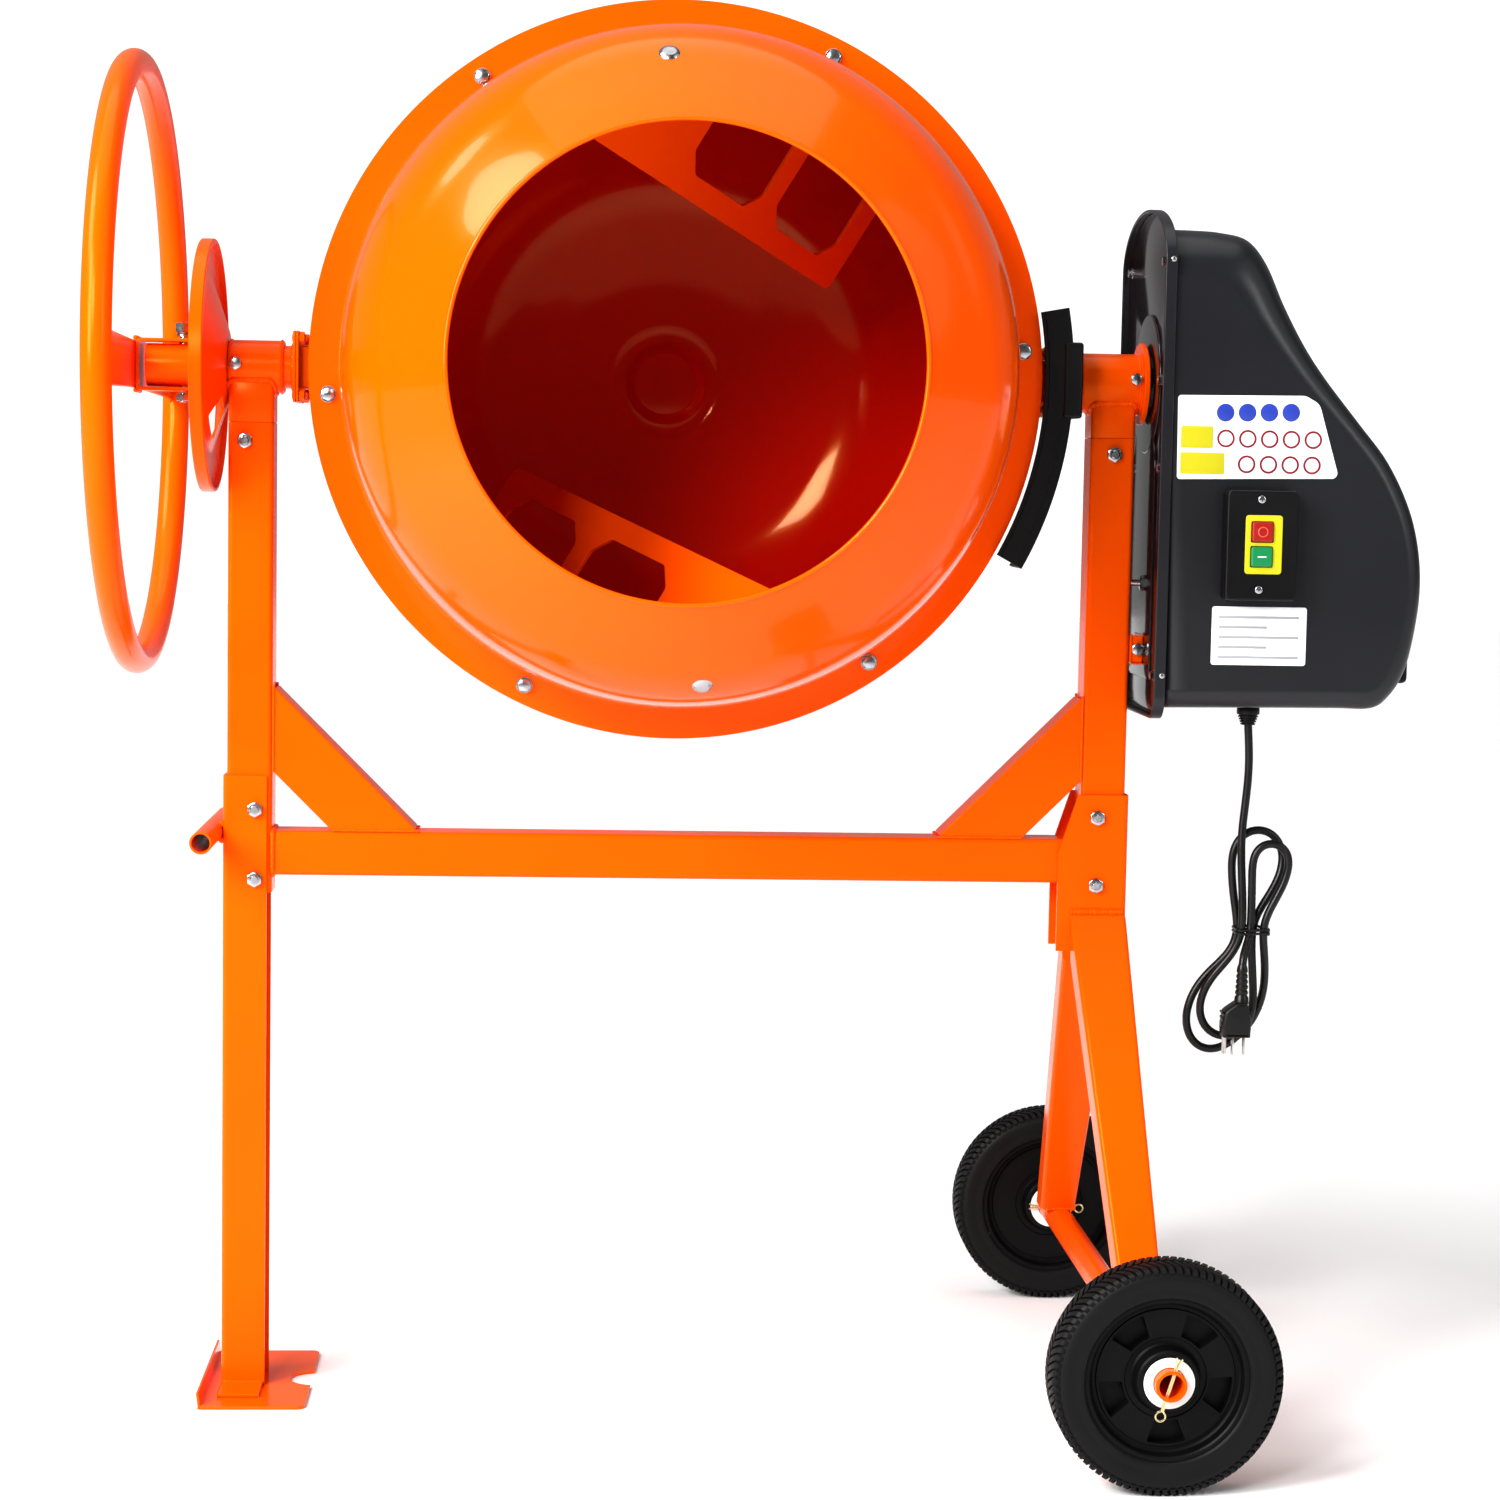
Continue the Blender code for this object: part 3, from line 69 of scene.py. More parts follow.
DRUM_R = 0.3281                  # flange
FLANGE_Y = -0.0624               # plane between the two halves of the drum
CONE_ROOT_R = 0.2975
MOUTH_R = 0.1966
BOWL_R = 0.2920
BOWL_END_Y = 0.2750
BOLT_CIRCLE = 0.3115             # bolts through the drum's flange
FLANGE_BOLTS = 6
FLANGE_BOLT_TURN = 4.6           # degrees from +X to the first of them
PADDLE_BOLTS = ((0.2560, 94.0), (0.2675, 274.0))     # radius and degrees of the two heads on the cone
CONE_WALL = ((0.2973, -0.0686), (0.2955, -0.110), (0.2935, -0.146), (0.2903, -0.178), (0.2815, -0.2145),
             (0.2640, -0.2425), (0.2420, -0.2625), (0.2200, -0.2815), (0.2001, -0.2974))     # radius and Y
RING_TEETH = 104
PINION_TEETH = 12
PITCH_R = 0.3115                 # radius where ring and pinion mesh
TOOTH_ROOT = 0.0006              # how far a tooth reaches into the body that carries it

SHAFT_R = 0.0193
RIGHT_TUBE_R = 0.0225
LOCK_DISC_R = 0.1140
STAND_NUT = (0.0125, 0.0058, 0.0038, 0.0025)     # flats, height, stud radius, how far the stud stands out
HANDWHEEL_TUBE_R = 0.0130
LEG_SPLAY = math.radians(35.0)

CORD_R = 0.00375
PLUG_X = 0.5250                  # middle of the grip
PLUG_Y = -0.0534
RELIEF_X = 0.5300                # middle of its strain relief
TREAD_BLOCKS = 88                # in each of a tyre's two rows
CAMERA_PLACE = (-0.20017, -2.86521, 0.84808)
CAMERA_YAW = math.radians(-3.49)                     # turned right of +Y
CAMERA_PITCH = math.radians(-5.005)
CAMERA_ROLL = math.radians(1.037)
CAMERA_LENS = 74.72
SENSOR = 36.0

ROOM_LIGHT = 0.12                # how bright the studio is in front of the mixer, to what it lights
WALL_LIGHT = 0.3                 # and its back wall


def at(x, y, z):
    return Vector((AXIS.x + x, y, z))


def low(node):
    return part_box(node)[0]


def high(node):
    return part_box(node)[1]


def middle(node):
    return (low(node) + high(node)) / 2


# ---------------------------------------------------------------- materials
def surface(name, colour, second, roughness, metallic=0.0, coat=0.0, patches=8.0, grain=600.0,
            depth=0.00002, waves=0.0, wave_depth=0.0002, specular=0.5, tint=(1.0, 1.0, 1.0)):
    """A Principled material whose colour and roughness drift in patches, with a fine grain and slow waves."""
    material = bpy.data.materials.new(name)
    material.use_nodes = True
    nodes = material.node_tree.nodes
    links = material.node_tree.links
    shader = nodes["Principled BSDF"]
    shader.inputs["Metallic"].default_value = metallic
    shader.inputs["Coat Weight"].default_value = coat
    shader.inputs["Coat Roughness"].default_value = 0.04
    shader.inputs["Specular IOR Level"].default_value = specular
    shader.inputs["Specular Tint"].default_value = (*tint, 1.0)
    place = nodes.new("ShaderNodeTexCoord")

    def noise_node(scale, detail):
        texture = nodes.new("ShaderNodeTexNoise")
        texture.inputs["Scale"].default_value = scale
        texture.inputs["Detail"].default_value = detail
        links.new(place.outputs["Object"], texture.inputs["Vector"])
        return texture

    drift = noise_node(patches, 4.0)
    mix = nodes.new("ShaderNodeMix")
    mix.data_type = "RGBA"
    mix.inputs["A"].default_value = (*colour, 1.0)
    mix.inputs["B"].default_value = (*second, 1.0)
    links.new(drift.outputs["Fac"], mix.inputs["Factor"])
    links.new(mix.outputs["Result"], shader.inputs["Base Color"])
    spread = nodes.new("ShaderNodeMapRange")
    spread.inputs["From Min"].default_value = 0.3
    spread.inputs["From Max"].default_value = 0.7
    spread.inputs["To Min"].default_value = roughness[0]
    spread.inputs["To Max"].default_value = roughness[1]
    links.new(drift.outputs["Fac"], spread.inputs["Value"])
    links.new(spread.outputs["Result"], shader.inputs["Roughness"])
    fine = nodes.new("ShaderNodeBump")
    fine.inputs["Distance"].default_value = depth
    links.new(noise_node(grain, 3.0).outputs["Fac"], fine.inputs["Height"])
    if waves:
        slow = nodes.new("ShaderNodeBump")
        slow.inputs["Distance"].default_value = wave_depth
        links.new(noise_node(waves, 1.0).outputs["Fac"], slow.inputs["Height"])
        links.new(slow.outputs["Normal"], fine.inputs["Normal"])
    links.new(fine.outputs["Normal"], shader.inputs["Normal"])
    return material


def make_materials():
    orange = (0.90, 0.097, 0.0)
    deep_orange = (0.84, 0.084, 0.0)
    warm = (1.0, 0.48, 0.12)
    return {
        "paint": surface("orange_paint", orange, deep_orange, (0.17, 0.27), grain=420.0, depth=0.00003,
                         waves=14.0, wave_depth=0.0004, specular=0.36, tint=warm),
        "drum": surface("drum_paint", orange, deep_orange, (0.12, 0.20), coat=0.2, patches=5.0, grain=420.0,
                        depth=0.00002, waves=9.0, wave_depth=0.0009, specular=0.36, tint=warm),
        # painted shade: a darker, redder copy of the drum paint for the inside of the drum, standing in for
        # the shade in its hollow
        "inside": surface("inner_drum_painted_shade", (0.66, 0.010, 0.0), (0.56, 0.007, 0.0), (0.08, 0.14),
                          coat=0.1, patches=7.0, grain=420.0, depth=0.00002, waves=9.0, wave_depth=0.0006,
                          specular=0.30, tint=warm),
        "weld": surface("weld_paint", orange, deep_orange, (0.22, 0.34), patches=60.0, grain=900.0,
                        depth=0.00012, specular=0.36, tint=warm),
        "zinc": surface("zinc_plate", (0.52, 0.53, 0.55), (0.34, 0.35, 0.37), (0.16, 0.30), 1.0,
                        patches=180.0, grain=1800.0, depth=0.00001),
        "brass": surface("yellow_zinc", (0.80, 0.66, 0.36), (0.66, 0.55, 0.34), (0.22, 0.36), 1.0,
                         patches=200.0, grain=1800.0, depth=0.00001),
        "steel": surface("turned_steel", (0.58, 0.58, 0.57), (0.48, 0.48, 0.47), (0.24, 0.36), 1.0,
                         patches=60.0, grain=1500.0, depth=0.00001),
        "iron": surface("cast_iron", (0.060, 0.060, 0.062), (0.034, 0.034, 0.036), (0.42, 0.62), 0.7,
                        patches=40.0, grain=700.0, depth=0.00015),
        "plastic": surface("black_plastic", (0.0030, 0.0030, 0.0034), (0.0042, 0.0042, 0.0046), (0.34, 0.46),
                           patches=20.0, grain=1600.0, depth=0.00003, specular=0.22),
        "guard": surface("guard_plastic", (0.0040, 0.0040, 0.0045), (0.0060, 0.0060, 0.0065), (0.40, 0.52),
                         patches=16.0, grain=900.0, depth=0.00005, specular=0.22),
        "housing": surface("housing_plastic", (0.0105, 0.0108, 0.0135), (0.0128, 0.0131, 0.0160),
                           (0.28, 0.38), patches=6.0, grain=1400.0, depth=0.00003, waves=10.0,
                           wave_depth=0.0004, specular=0.4),
        "lacquer": surface("black_lacquer", (0.012, 0.006, 0.008), (0.015, 0.008, 0.010), (0.08, 0.14),
                           coat=0.2, patches=9.0, grain=500.0, depth=0.00001, waves=12.0, wave_depth=0.0005,
                           specular=0.25),
        "rubber": surface("tyre_rubber", (0.0045, 0.0045, 0.0050), (0.0070, 0.0070, 0.0075), (0.46, 0.60),
                          patches=30.0, grain=900.0, depth=0.00006, specular=0.18),
        "wheel": surface("wheel_plastic", (0.0030, 0.0030, 0.0034), (0.0045, 0.0045, 0.0050), (0.38, 0.50),
                         patches=30.0, grain=1500.0, depth=0.00003, specular=0.14),
        "belt": surface("belt_rubber", (0.012, 0.012, 0.012), (0.018, 0.018, 0.018), (0.6, 0.75),
                        patches=50.0, grain=1200.0, depth=0.00005),
        "cord": surface("cord_jacket", (0.0035, 0.0035, 0.0040), (0.0055, 0.0055, 0.0060), (0.28, 0.40),
                        patches=40.0, grain=1500.0, depth=0.00002, specular=0.35),
        "nylon": surface("white_nylon", (0.82, 0.82, 0.80), (0.76, 0.76, 0.74), (0.34, 0.46),
                         patches=60.0, grain=1500.0, depth=0.00002),
        "label": surface("label_film", (0.80, 0.81, 0.83), (0.76, 0.77, 0.80), (0.26, 0.34),
                         patches=14.0, grain=1200.0, depth=0.00001),
        "print": surface("label_print", (0.30, 0.31, 0.33), (0.34, 0.35, 0.37), (0.34, 0.42),
                         patches=60.0, grain=1200.0, depth=0.00001),
        "blue": surface("label_blue", (0.020, 0.042, 0.30), (0.024, 0.050, 0.34), (0.28, 0.36),
                        patches=60.0, grain=1200.0, depth=0.00001),
        "yellow": surface("yellow_plastic", (0.52, 0.48, 0.010), (0.48, 0.44, 0.010), (0.28, 0.38),
                          patches=60.0, grain=1500.0, depth=0.00002),
        "red": surface("red_plastic", (0.30, 0.010, 0.006), (0.26, 0.009, 0.005), (0.26, 0.36),
                       patches=60.0, grain=1500.0, depth=0.00002),
        "green": surface("green_plastic", (0.005, 0.21, 0.066), (0.004, 0.18, 0.058), (0.26, 0.36),
                         patches=60.0, grain=1500.0, depth=0.00002),
        "crimson": surface("label_red", (0.22, 0.006, 0.018), (0.19, 0.005, 0.015), (0.3, 0.4), patches=60.0),
        "bright_red": surface("stop_mark", (0.75, 0.10, 0.06), (0.70, 0.09, 0.05), (0.3, 0.4), patches=60.0),
        "white": surface("start_mark", (0.78, 0.80, 0.78), (0.74, 0.76, 0.74), (0.3, 0.4), patches=60.0),
        "motor": surface("motor_paint", (0.030, 0.030, 0.037), (0.024, 0.024, 0.030), (0.35, 0.5),
                         patches=20.0, grain=900.0, depth=0.00005),
        "floor": surface("pale_floor", (0.86, 0.86, 0.86), (0.84, 0.84, 0.84), (0.6, 0.7), patches=2.0,
                         grain=300.0, depth=0.00002, specular=0.1),
    }


LOOKS = make_materials()


# ---------------------------------------------------------------- local axes
def placed(name, data):
    """A new object in the scene."""
    piece = bpy.data.objects.new(name, data)
    bpy.context.scene.collection.objects.link(piece)
    return piece


def local_axes(origin, x, y, z):
    return Matrix.Translation(origin) @ Matrix((x, y, z)).transposed().to_4x4()


def along_x(origin):
    """Local z is +X, local x and y are Y and Z."""
    return local_axes(origin, Y_AXIS, Z_AXIS, X_AXIS)


def along_y(origin):
    """Local z is +Y, local x is X and local y is -Z."""
    return local_axes(origin, X_AXIS, -Z_AXIS, Y_AXIS)


def facing_front(origin):
    """Local x and y are X and Z, local z is -Y, towards whoever faces the mouth."""
    return local_axes(origin, X_AXIS, Z_AXIS, -Y_AXIS)


def upright(origin):
    return Matrix.Translation(origin)


def standing_on(origin, normal):
    """Local z is along a surface's normal."""
    normal = Vector(normal).normalized()
    side = normal.orthogonal().normalized()
    return local_axes(origin, side, normal.cross(side), normal)


# ---------------------------------------------------------------- outlines
def arc(centre, radius, start, end, count):
    """Points on an arc, with its start and end angles in degrees."""
    angles = [math.radians(start + (end - start) * i / count) for i in range(count + 1)]
    return [(centre[0] + radius * math.cos(a), centre[1] + radius * math.sin(a)) for a in angles]


def rounded(points, radii, steps=5, closed=True):
    """A polyline with each corner replaced by an arc of its own radius (0 leaves it sharp)."""
    if not hasattr(radii, "__len__"):
        radii = [radii] * len(points)
    outline = []
    count = len(points)
    for i, (point, radius) in enumerate(zip(points, radii)):
        point = Vector(point)
        if radius <= 0 or (not closed and i in (0, count - 1)):
            outline.append(tuple(point))
            continue
        before = Vector(points[i - 1]) - point
        after = Vector(points[(i + 1) % count]) - point
        turn = before.angle(after)
        reach = min(radius / math.tan(turn / 2), 0.49 * before.length, 0.49 * after.length)
        bow = reach * math.tan(turn / 2)
        centre = point + (before.normalized() + after.normalized()).normalized() * (bow / math.sin(turn / 2))
        first = point + before.normalized() * reach - centre
        last = point + after.normalized() * reach - centre
        sweep = first.angle(last)
        for k in range(steps + 1):
            t = k / steps
            spoke = (first * math.sin((1 - t) * sweep) + last * math.sin(t * sweep)) / math.sin(sweep)
            outline.append(tuple(centre + spoke))
    return outline


def rectangle(x0, y0, x1, y1):
    return [(x0, y0), (x1, y0), (x1, y1), (x0, y1)]


def turns(count):
    """Angles that divide a circle evenly."""
    return [2 * math.pi * k / count for k in range(count)]


def straight(start, end, steps):
    return [Vector(start).lerp(Vector(end), k / steps) for k in range(steps + 1)]


def ring_about_x(x, radius, count):
    """Points on a circle about the trunnions' axis."""
    return [at(x, radius * math.cos(a), AXIS.z + radius * math.sin(a)) for a in turns(count)]


def tube_profile(bore, radius, start, end, rim):
    """The (radius, height) outline of a tube with bevelled ends."""
    return [(bore, start), (radius - rim, start), (radius, start + rim),
            (radius, end - rim), (radius - rim, end), (bore, end)]


def catmull(points, per_span):
    """A smooth curve through points, with the same number of steps in every span."""
    run = [points[0], *points, points[-1]]
    path = []
    for i in range(1, len(run) - 2):
        a, b, c, d = (Vector(run[j]) for j in range(i - 1, i + 3))
        for k in range(per_span):
            t = k / per_span
            path.append(0.5 * (2 * b + (c - a) * t + (2 * a - 5 * b + 4 * c - d) * t ** 2
                               + (3 * b - a - 3 * c + d) * t ** 3))
    path.append(Vector(points[-1]))
    return path


# ---------------------------------------------------------------- mesh building
def add_loop_faces(work, rings, closed_rings, cyclic):
    """Quads between neighbouring rings of vertices; a ring of one vertex is a pole."""
    count = len(rings)
    for i in range(count if cyclic else count - 1):
        a, b = rings[i], rings[(i + 1) % count]
        size = max(len(a), len(b))
        for k in range(size if closed_rings else size - 1):
            m = (k + 1) % size
            if len(a) == 1 and len(b) == 1:
                continue
            if len(a) == 1:
                corners = (a[0], b[m], b[k])
            elif len(b) == 1:
                corners = (a[k], a[m], b[0])
            else:
                corners = (a[k], a[m], b[m], b[k])
            work.faces.new(corners)


def add_turned(work, profile, matrix, steps=64, closed=True):
    """A body of revolution about local z of (radius, height) points."""
    rings = []
    for radius, height in profile:
        if radius < 1e-6:
            rings.append([work.verts.new(matrix @ Vector((0.0, 0.0, height)))])
            continue
        rings.append([work.verts.new(matrix @ Vector((radius * math.cos(a), radius * math.sin(a), height)))
                      for a in turns(steps)])
    add_loop_faces(work, rings, True, closed)


def add_loft(work, outlines):
    """A solid with flat ends through outlines that have the same number of points."""
    rings = [[work.verts.new(point) for point in outline] for outline in outlines]
    add_loop_faces(work, rings, True, False)
    work.faces.new(rings[0])
    work.faces.new(rings[-1])


def add_sweep(work, path, radius, sides=16, cyclic=False, up=None):
    """A tube along a path, with one radius or one for each point."""
    points = [Vector(p) for p in path]
    count = len(points)
    radii = radius if hasattr(radius, "__len__") else [radius] * count
    rings = []
    side = None
    for i, point in enumerate(points):
        before = points[i - 1] if (cyclic or i) else point
        after = points[(i + 1) % count] if (cyclic or i < count - 1) else point
        along = (after - before).normalized()
        if side is None:
            side = up or along.orthogonal()
        side = (side - along * side.dot(along)).normalized()
        over = along.cross(side)
        ring = []
        for angle in turns(sides):
            ring.append(work.verts.new(point + (side * math.cos(angle) + over * math.sin(angle)) * radii[i]))
        rings.append(ring)
    add_loop_faces(work, rings, True, cyclic)
    if not cyclic:
        work.faces.new(rings[0])
        work.faces.new(rings[-1])


def add_mesh(work, mesh, matrix):
    """Puts a mesh in place, closes its seams, adds it to a bmesh and removes it."""
    part = bmesh.new()
    part.from_mesh(mesh)
    bmesh.ops.transform(part, matrix=matrix, verts=part.verts)
    bmesh.ops.remove_doubles(part, verts=part.verts, dist=0.000002)
    part.to_mesh(mesh)
    part.free()
    work.from_mesh(mesh)
    bpy.data.meshes.remove(mesh)


def add_prism(work, loops, depth, matrix, edge=0.0, edge_steps=2):
    """A flat outline, with its holes, thickened both ways along local z, with round edges."""
    curve = bpy.data.curves.new("outline", "CURVE")
    curve.dimensions = "2D"
    curve.fill_mode = "BOTH"
    curve.extrude = depth / 2 - edge
    if edge:
        curve.bevel_depth = edge
        curve.bevel_resolution = edge_steps
        curve.offset = -edge
    for outline in loops:
        spline = curve.splines.new("POLY")
        spline.points.add(len(outline) - 1)
        for point, (x, y) in zip(spline.points, outline):
            point.co = (x, y, 0.0, 1.0)
        spline.use_cyclic_u = True
    holder = placed("outline", curve)
    bpy.context.view_layer.update()
    mesh = bpy.data.meshes.new_from_object(holder.evaluated_get(bpy.context.evaluated_depsgraph_get()))
    bpy.data.objects.remove(holder, do_unlink=True)
    bpy.data.curves.remove(curve)
    add_mesh(work, mesh, matrix)


def add_box(work, low_corner, high_corner, edge=0.001, segments=2, matrix=None):
    size = Vector(high_corner) - Vector(low_corner)
    centre = (Vector(high_corner) + Vector(low_corner)) / 2
    part = bmesh.new()
    bmesh.ops.create_cube(part, size=1.0)
    bmesh.ops.scale(part, vec=size, verts=part.verts)
    if edge:
        bmesh.ops.bevel(part, geom=part.edges[:], offset=edge, segments=segments, affect="EDGES", profile=0.5)
    bmesh.ops.translate(part, vec=centre, verts=part.verts)
    mesh = bpy.data.meshes.new("box")
    part.to_mesh(mesh)
    part.free()
    add_mesh(work, mesh, matrix or Matrix.Identity(4))


def add_hexagon(work, matrix, flats, height, bore=0.0, both=False):
    """A hexagon bolt head or nut that stands on local z = 0, with the conical chamfer on its corners."""
    top_r = flats * 0.47
    steps = 36
    base, under, edge, top = [], [], [], []
    for angle in turns(steps):
        off_flat = (angle + math.pi / 6) % (math.pi / 3) - math.pi / 6
        reach = flats / 2 / math.cos(off_flat)
        drop = max(reach - top_r, 0.0) * 0.55
        spoke = Vector((math.cos(angle), math.sin(angle), 0.0))
        base.append(work.verts.new(matrix @ (spoke * (top_r if both else reach))))
        if both:
            under.append(work.verts.new(matrix @ (spoke * reach + Z_AXIS * drop)))
        edge.append(work.verts.new(matrix @ (spoke * reach + Z_AXIS * (height - drop))))
        top.append(work.verts.new(matrix @ (spoke * top_r + Z_AXIS * height)))
    rings = [base] + ([under] if both else []) + [edge, top]
    if bore:
        for level in (height, 0.0):
            rings.append([work.verts.new(matrix @ Vector((bore * math.cos(a), bore * math.sin(a), level)))
                          for a in turns(steps)])
        add_loop_faces(work, rings, True, True)
        return
    rings.append([work.verts.new(matrix @ Vector((0.0, 0.0, height)))])
    rings.insert(0, [work.verts.new(matrix @ Vector((0.0, 0.0, 0.0)))])
    add_loop_faces(work, rings, True, False)


def thread(radius, length):
    """Profile of a bolt's threaded end, from its tip down to height 0."""
    pitch = 0.00125
    profile = [(0.0, length), (radius * 0.8, length)]
    for i in range(max(2, int(length / pitch))):
        profile.append((radius, length - pitch * (i + 0.5)))
        profile.append((radius * 0.86, length - pitch * (i + 1.0)))
    return profile + [(0.0, profile[-1][1])]


def add_bolt(work, matrix, flats=0.010, height=0.0042, washer=0.0, spring=False):
    """A hexagon head on a flat washer, and on a spring washer if it has one."""
    level = 0.0
    if washer:
        bevel = 0.0004
        profile = [(0.0, WASHER), (washer - bevel, WASHER), (washer, WASHER - bevel), (washer, 0.0),
                   (0.0, 0.0)]
        add_turned(work, profile, matrix, 32, False)
        level = WASHER
    if spring:
        thick = 0.0020
        ring = [matrix @ Vector((flats * 0.40 * math.cos(a), flats * 0.40 * math.sin(a),
                                 level + thick / 2 + 0.0006 * (a / 6.0 - 0.5)))
                for a in (math.radians(d) for d in range(8, 350, 12))]
        add_sweep(work, ring, thick / 2, 8)
        level += thick
    add_hexagon(work, matrix @ Matrix.Translation((0, 0, level)), flats, height)


def add_nut(work, matrix, flats=0.013, height=0.0065, stud=0.004, stud_out=0.003, washer=0.0):
    """A nut on the end of a bolt that stands out of it."""
    level = 0.0
    if washer:
        profile = [(0.0, WASHER), (washer, WASHER), (washer, 0.0), (0.0, 0.0)]
        add_turned(work, profile, matrix, 32, False)
        level = WASHER
    seat = matrix @ Matrix.Translation((0, 0, level))
    add_hexagon(work, seat, flats, height, stud * 1.04, both=True)
    add_turned(work, thread(stud, height + stud_out), seat, 24, False)


def add_screw(work, matrix, radius=0.0040, height=0.0024):
    """A pan head with a crossed recess."""
    dome = [(0.0, height * 0.62), (radius * 0.18, height * 0.62), (radius * 0.24, height)]
    dome += [(radius * math.cos(math.radians(a)) ** 0.5, height * (0.45 + 0.55 * math.sin(math.radians(a))))
             for a in (60, 40, 20, 0)]
    dome += [(radius * 0.97, 0.0), (0.0, 0.0)]
    add_turned(work, dome, matrix, 28, False)
    for turn in (0.0, math.pi / 2):
        slot = matrix @ Matrix.Rotation(turn, 4, "Z")
        add_box(work, (-radius * 0.55, -radius * 0.10, height * 0.80),
                (radius * 0.55, radius * 0.10, height * 1.02), 0.0, matrix=slot)


def add_weld(work, path, radius, cyclic=False, seed=0.0):
    """A weld bead: a rod with ripples a bead's length apart and a little waviness."""
    points = [Vector(p) for p in path]
    dense = []
    count = len(points)
    for i in range(count if cyclic else count - 1):
        a, b = points[i], points[(i + 1) % count]
        steps = max(1, int((b - a).length / (radius * 0.4)))
        dense += [a.lerp(b, k / steps) for k in range(steps)]
    if not cyclic:
        dense.append(points[-1])
    radii = []
    for i, point in enumerate(dense):
        ripple = 0.10 * math.sin(i * 2.1)
        lump = 0.22 * noise.noise(point * 160.0 + Vector((seed, 0.0, 0.0)))
        radii.append(radius * (1.0 + ripple + lump))
    if not cyclic:
        radii[0] *= 0.6
        radii[-1] *= 0.6
    add_sweep(work, dense, radii, 10, cyclic)


def carve(work, cutters, operation="DIFFERENCE"):
    """Cut other bmeshes out of a bmesh, exactly."""
    bmesh.ops.recalc_face_normals(work, faces=work.faces)
    target = placed("target", bpy.data.meshes.new("target"))
    work.to_mesh(target.data)
    tools = []
    for cutter in cutters:
        bmesh.ops.recalc_face_normals(cutter, faces=cutter.faces)
        mesh = bpy.data.meshes.new("cutter")
        cutter.to_mesh(mesh)
        cutter.free()
        tool = placed("cutter", mesh)
        modifier = target.modifiers.new("Cut", "BOOLEAN")
        modifier.operation = operation
        modifier.object = tool
        modifier.solver = "EXACT"
        tools.append(tool)
    bpy.context.view_layer.update()
    mesh = bpy.data.meshes.new_from_object(target.evaluated_get(bpy.context.evaluated_depsgraph_get()))
    work.clear()
    work.from_mesh(mesh)
    for extra in tools + [target]:
        data = extra.data
        bpy.data.objects.remove(extra, do_unlink=True)
        bpy.data.meshes.remove(data)
    bpy.data.meshes.remove(mesh)


def cut_away(work, place, normal):
    """Takes off what lies on the side of a plane that its normal points to, and closes the cut."""
    cut = bmesh.ops.bisect_plane(work, geom=work.verts[:] + work.edges[:] + work.faces[:],
                                 plane_co=place, plane_no=normal, clear_outer=True)
    edges = [e for e in cut["geom_cut"] if isinstance(e, bmesh.types.BMEdge)]
    bmesh.ops.holes_fill(work, edges=edges, sides=0)


def finished(name, work, look, body, *replaced, sharp=32, flat=False):
    """Turns a bmesh into a named piece of the object that rides on a body."""
    bmesh.ops.recalc_face_normals(work, faces=work.faces)
    mesh = bpy.data.meshes.new(name)
    work.to_mesh(mesh)
    work.free()
    piece = placed(name, mesh)
    mesh.materials.append(LOOKS[look])
    mesh.shade_smooth()
    mesh.set_sharp_from_angle(angle=math.radians(sharp))
    if flat:
        weighted = piece.modifiers.new("Normals", "WEIGHTED_NORMAL")
        weighted.weight = 100
        weighted.keep_sharp = True
    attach(piece, body)
    if replaced:
        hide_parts(*replaced)
    return piece


def repaint(node, look):
    """Gives a CAD node that stays its finished material."""
    mesh = frame["nodes"][node].data
    mesh.materials.clear()
    mesh.materials.append(LOOKS[look])


# ---------------------------------------------------------------- camera
def set_camera():
    camera = placed("camera", bpy.data.cameras.new("camera"))
    camera.data.sensor_width = SENSOR
    camera.data.lens = CAMERA_LENS
    camera.data.clip_end = 60.0
    ahead = Vector((-math.sin(CAMERA_YAW) * math.cos(CAMERA_PITCH),
                    math.cos(CAMERA_YAW) * math.cos(CAMERA_PITCH), math.sin(CAMERA_PITCH)))
    level = Vector((math.cos(CAMERA_YAW), math.sin(CAMERA_YAW), 0.0))
    over = level.cross(ahead)
    right = level * math.cos(CAMERA_ROLL) + over * math.sin(CAMERA_ROLL)
    up = over * math.cos(CAMERA_ROLL) - level * math.sin(CAMERA_ROLL)
    camera.matrix_world = local_axes(Vector(CAMERA_PLACE), right, up, -ahead)
    bpy.context.scene.camera = camera


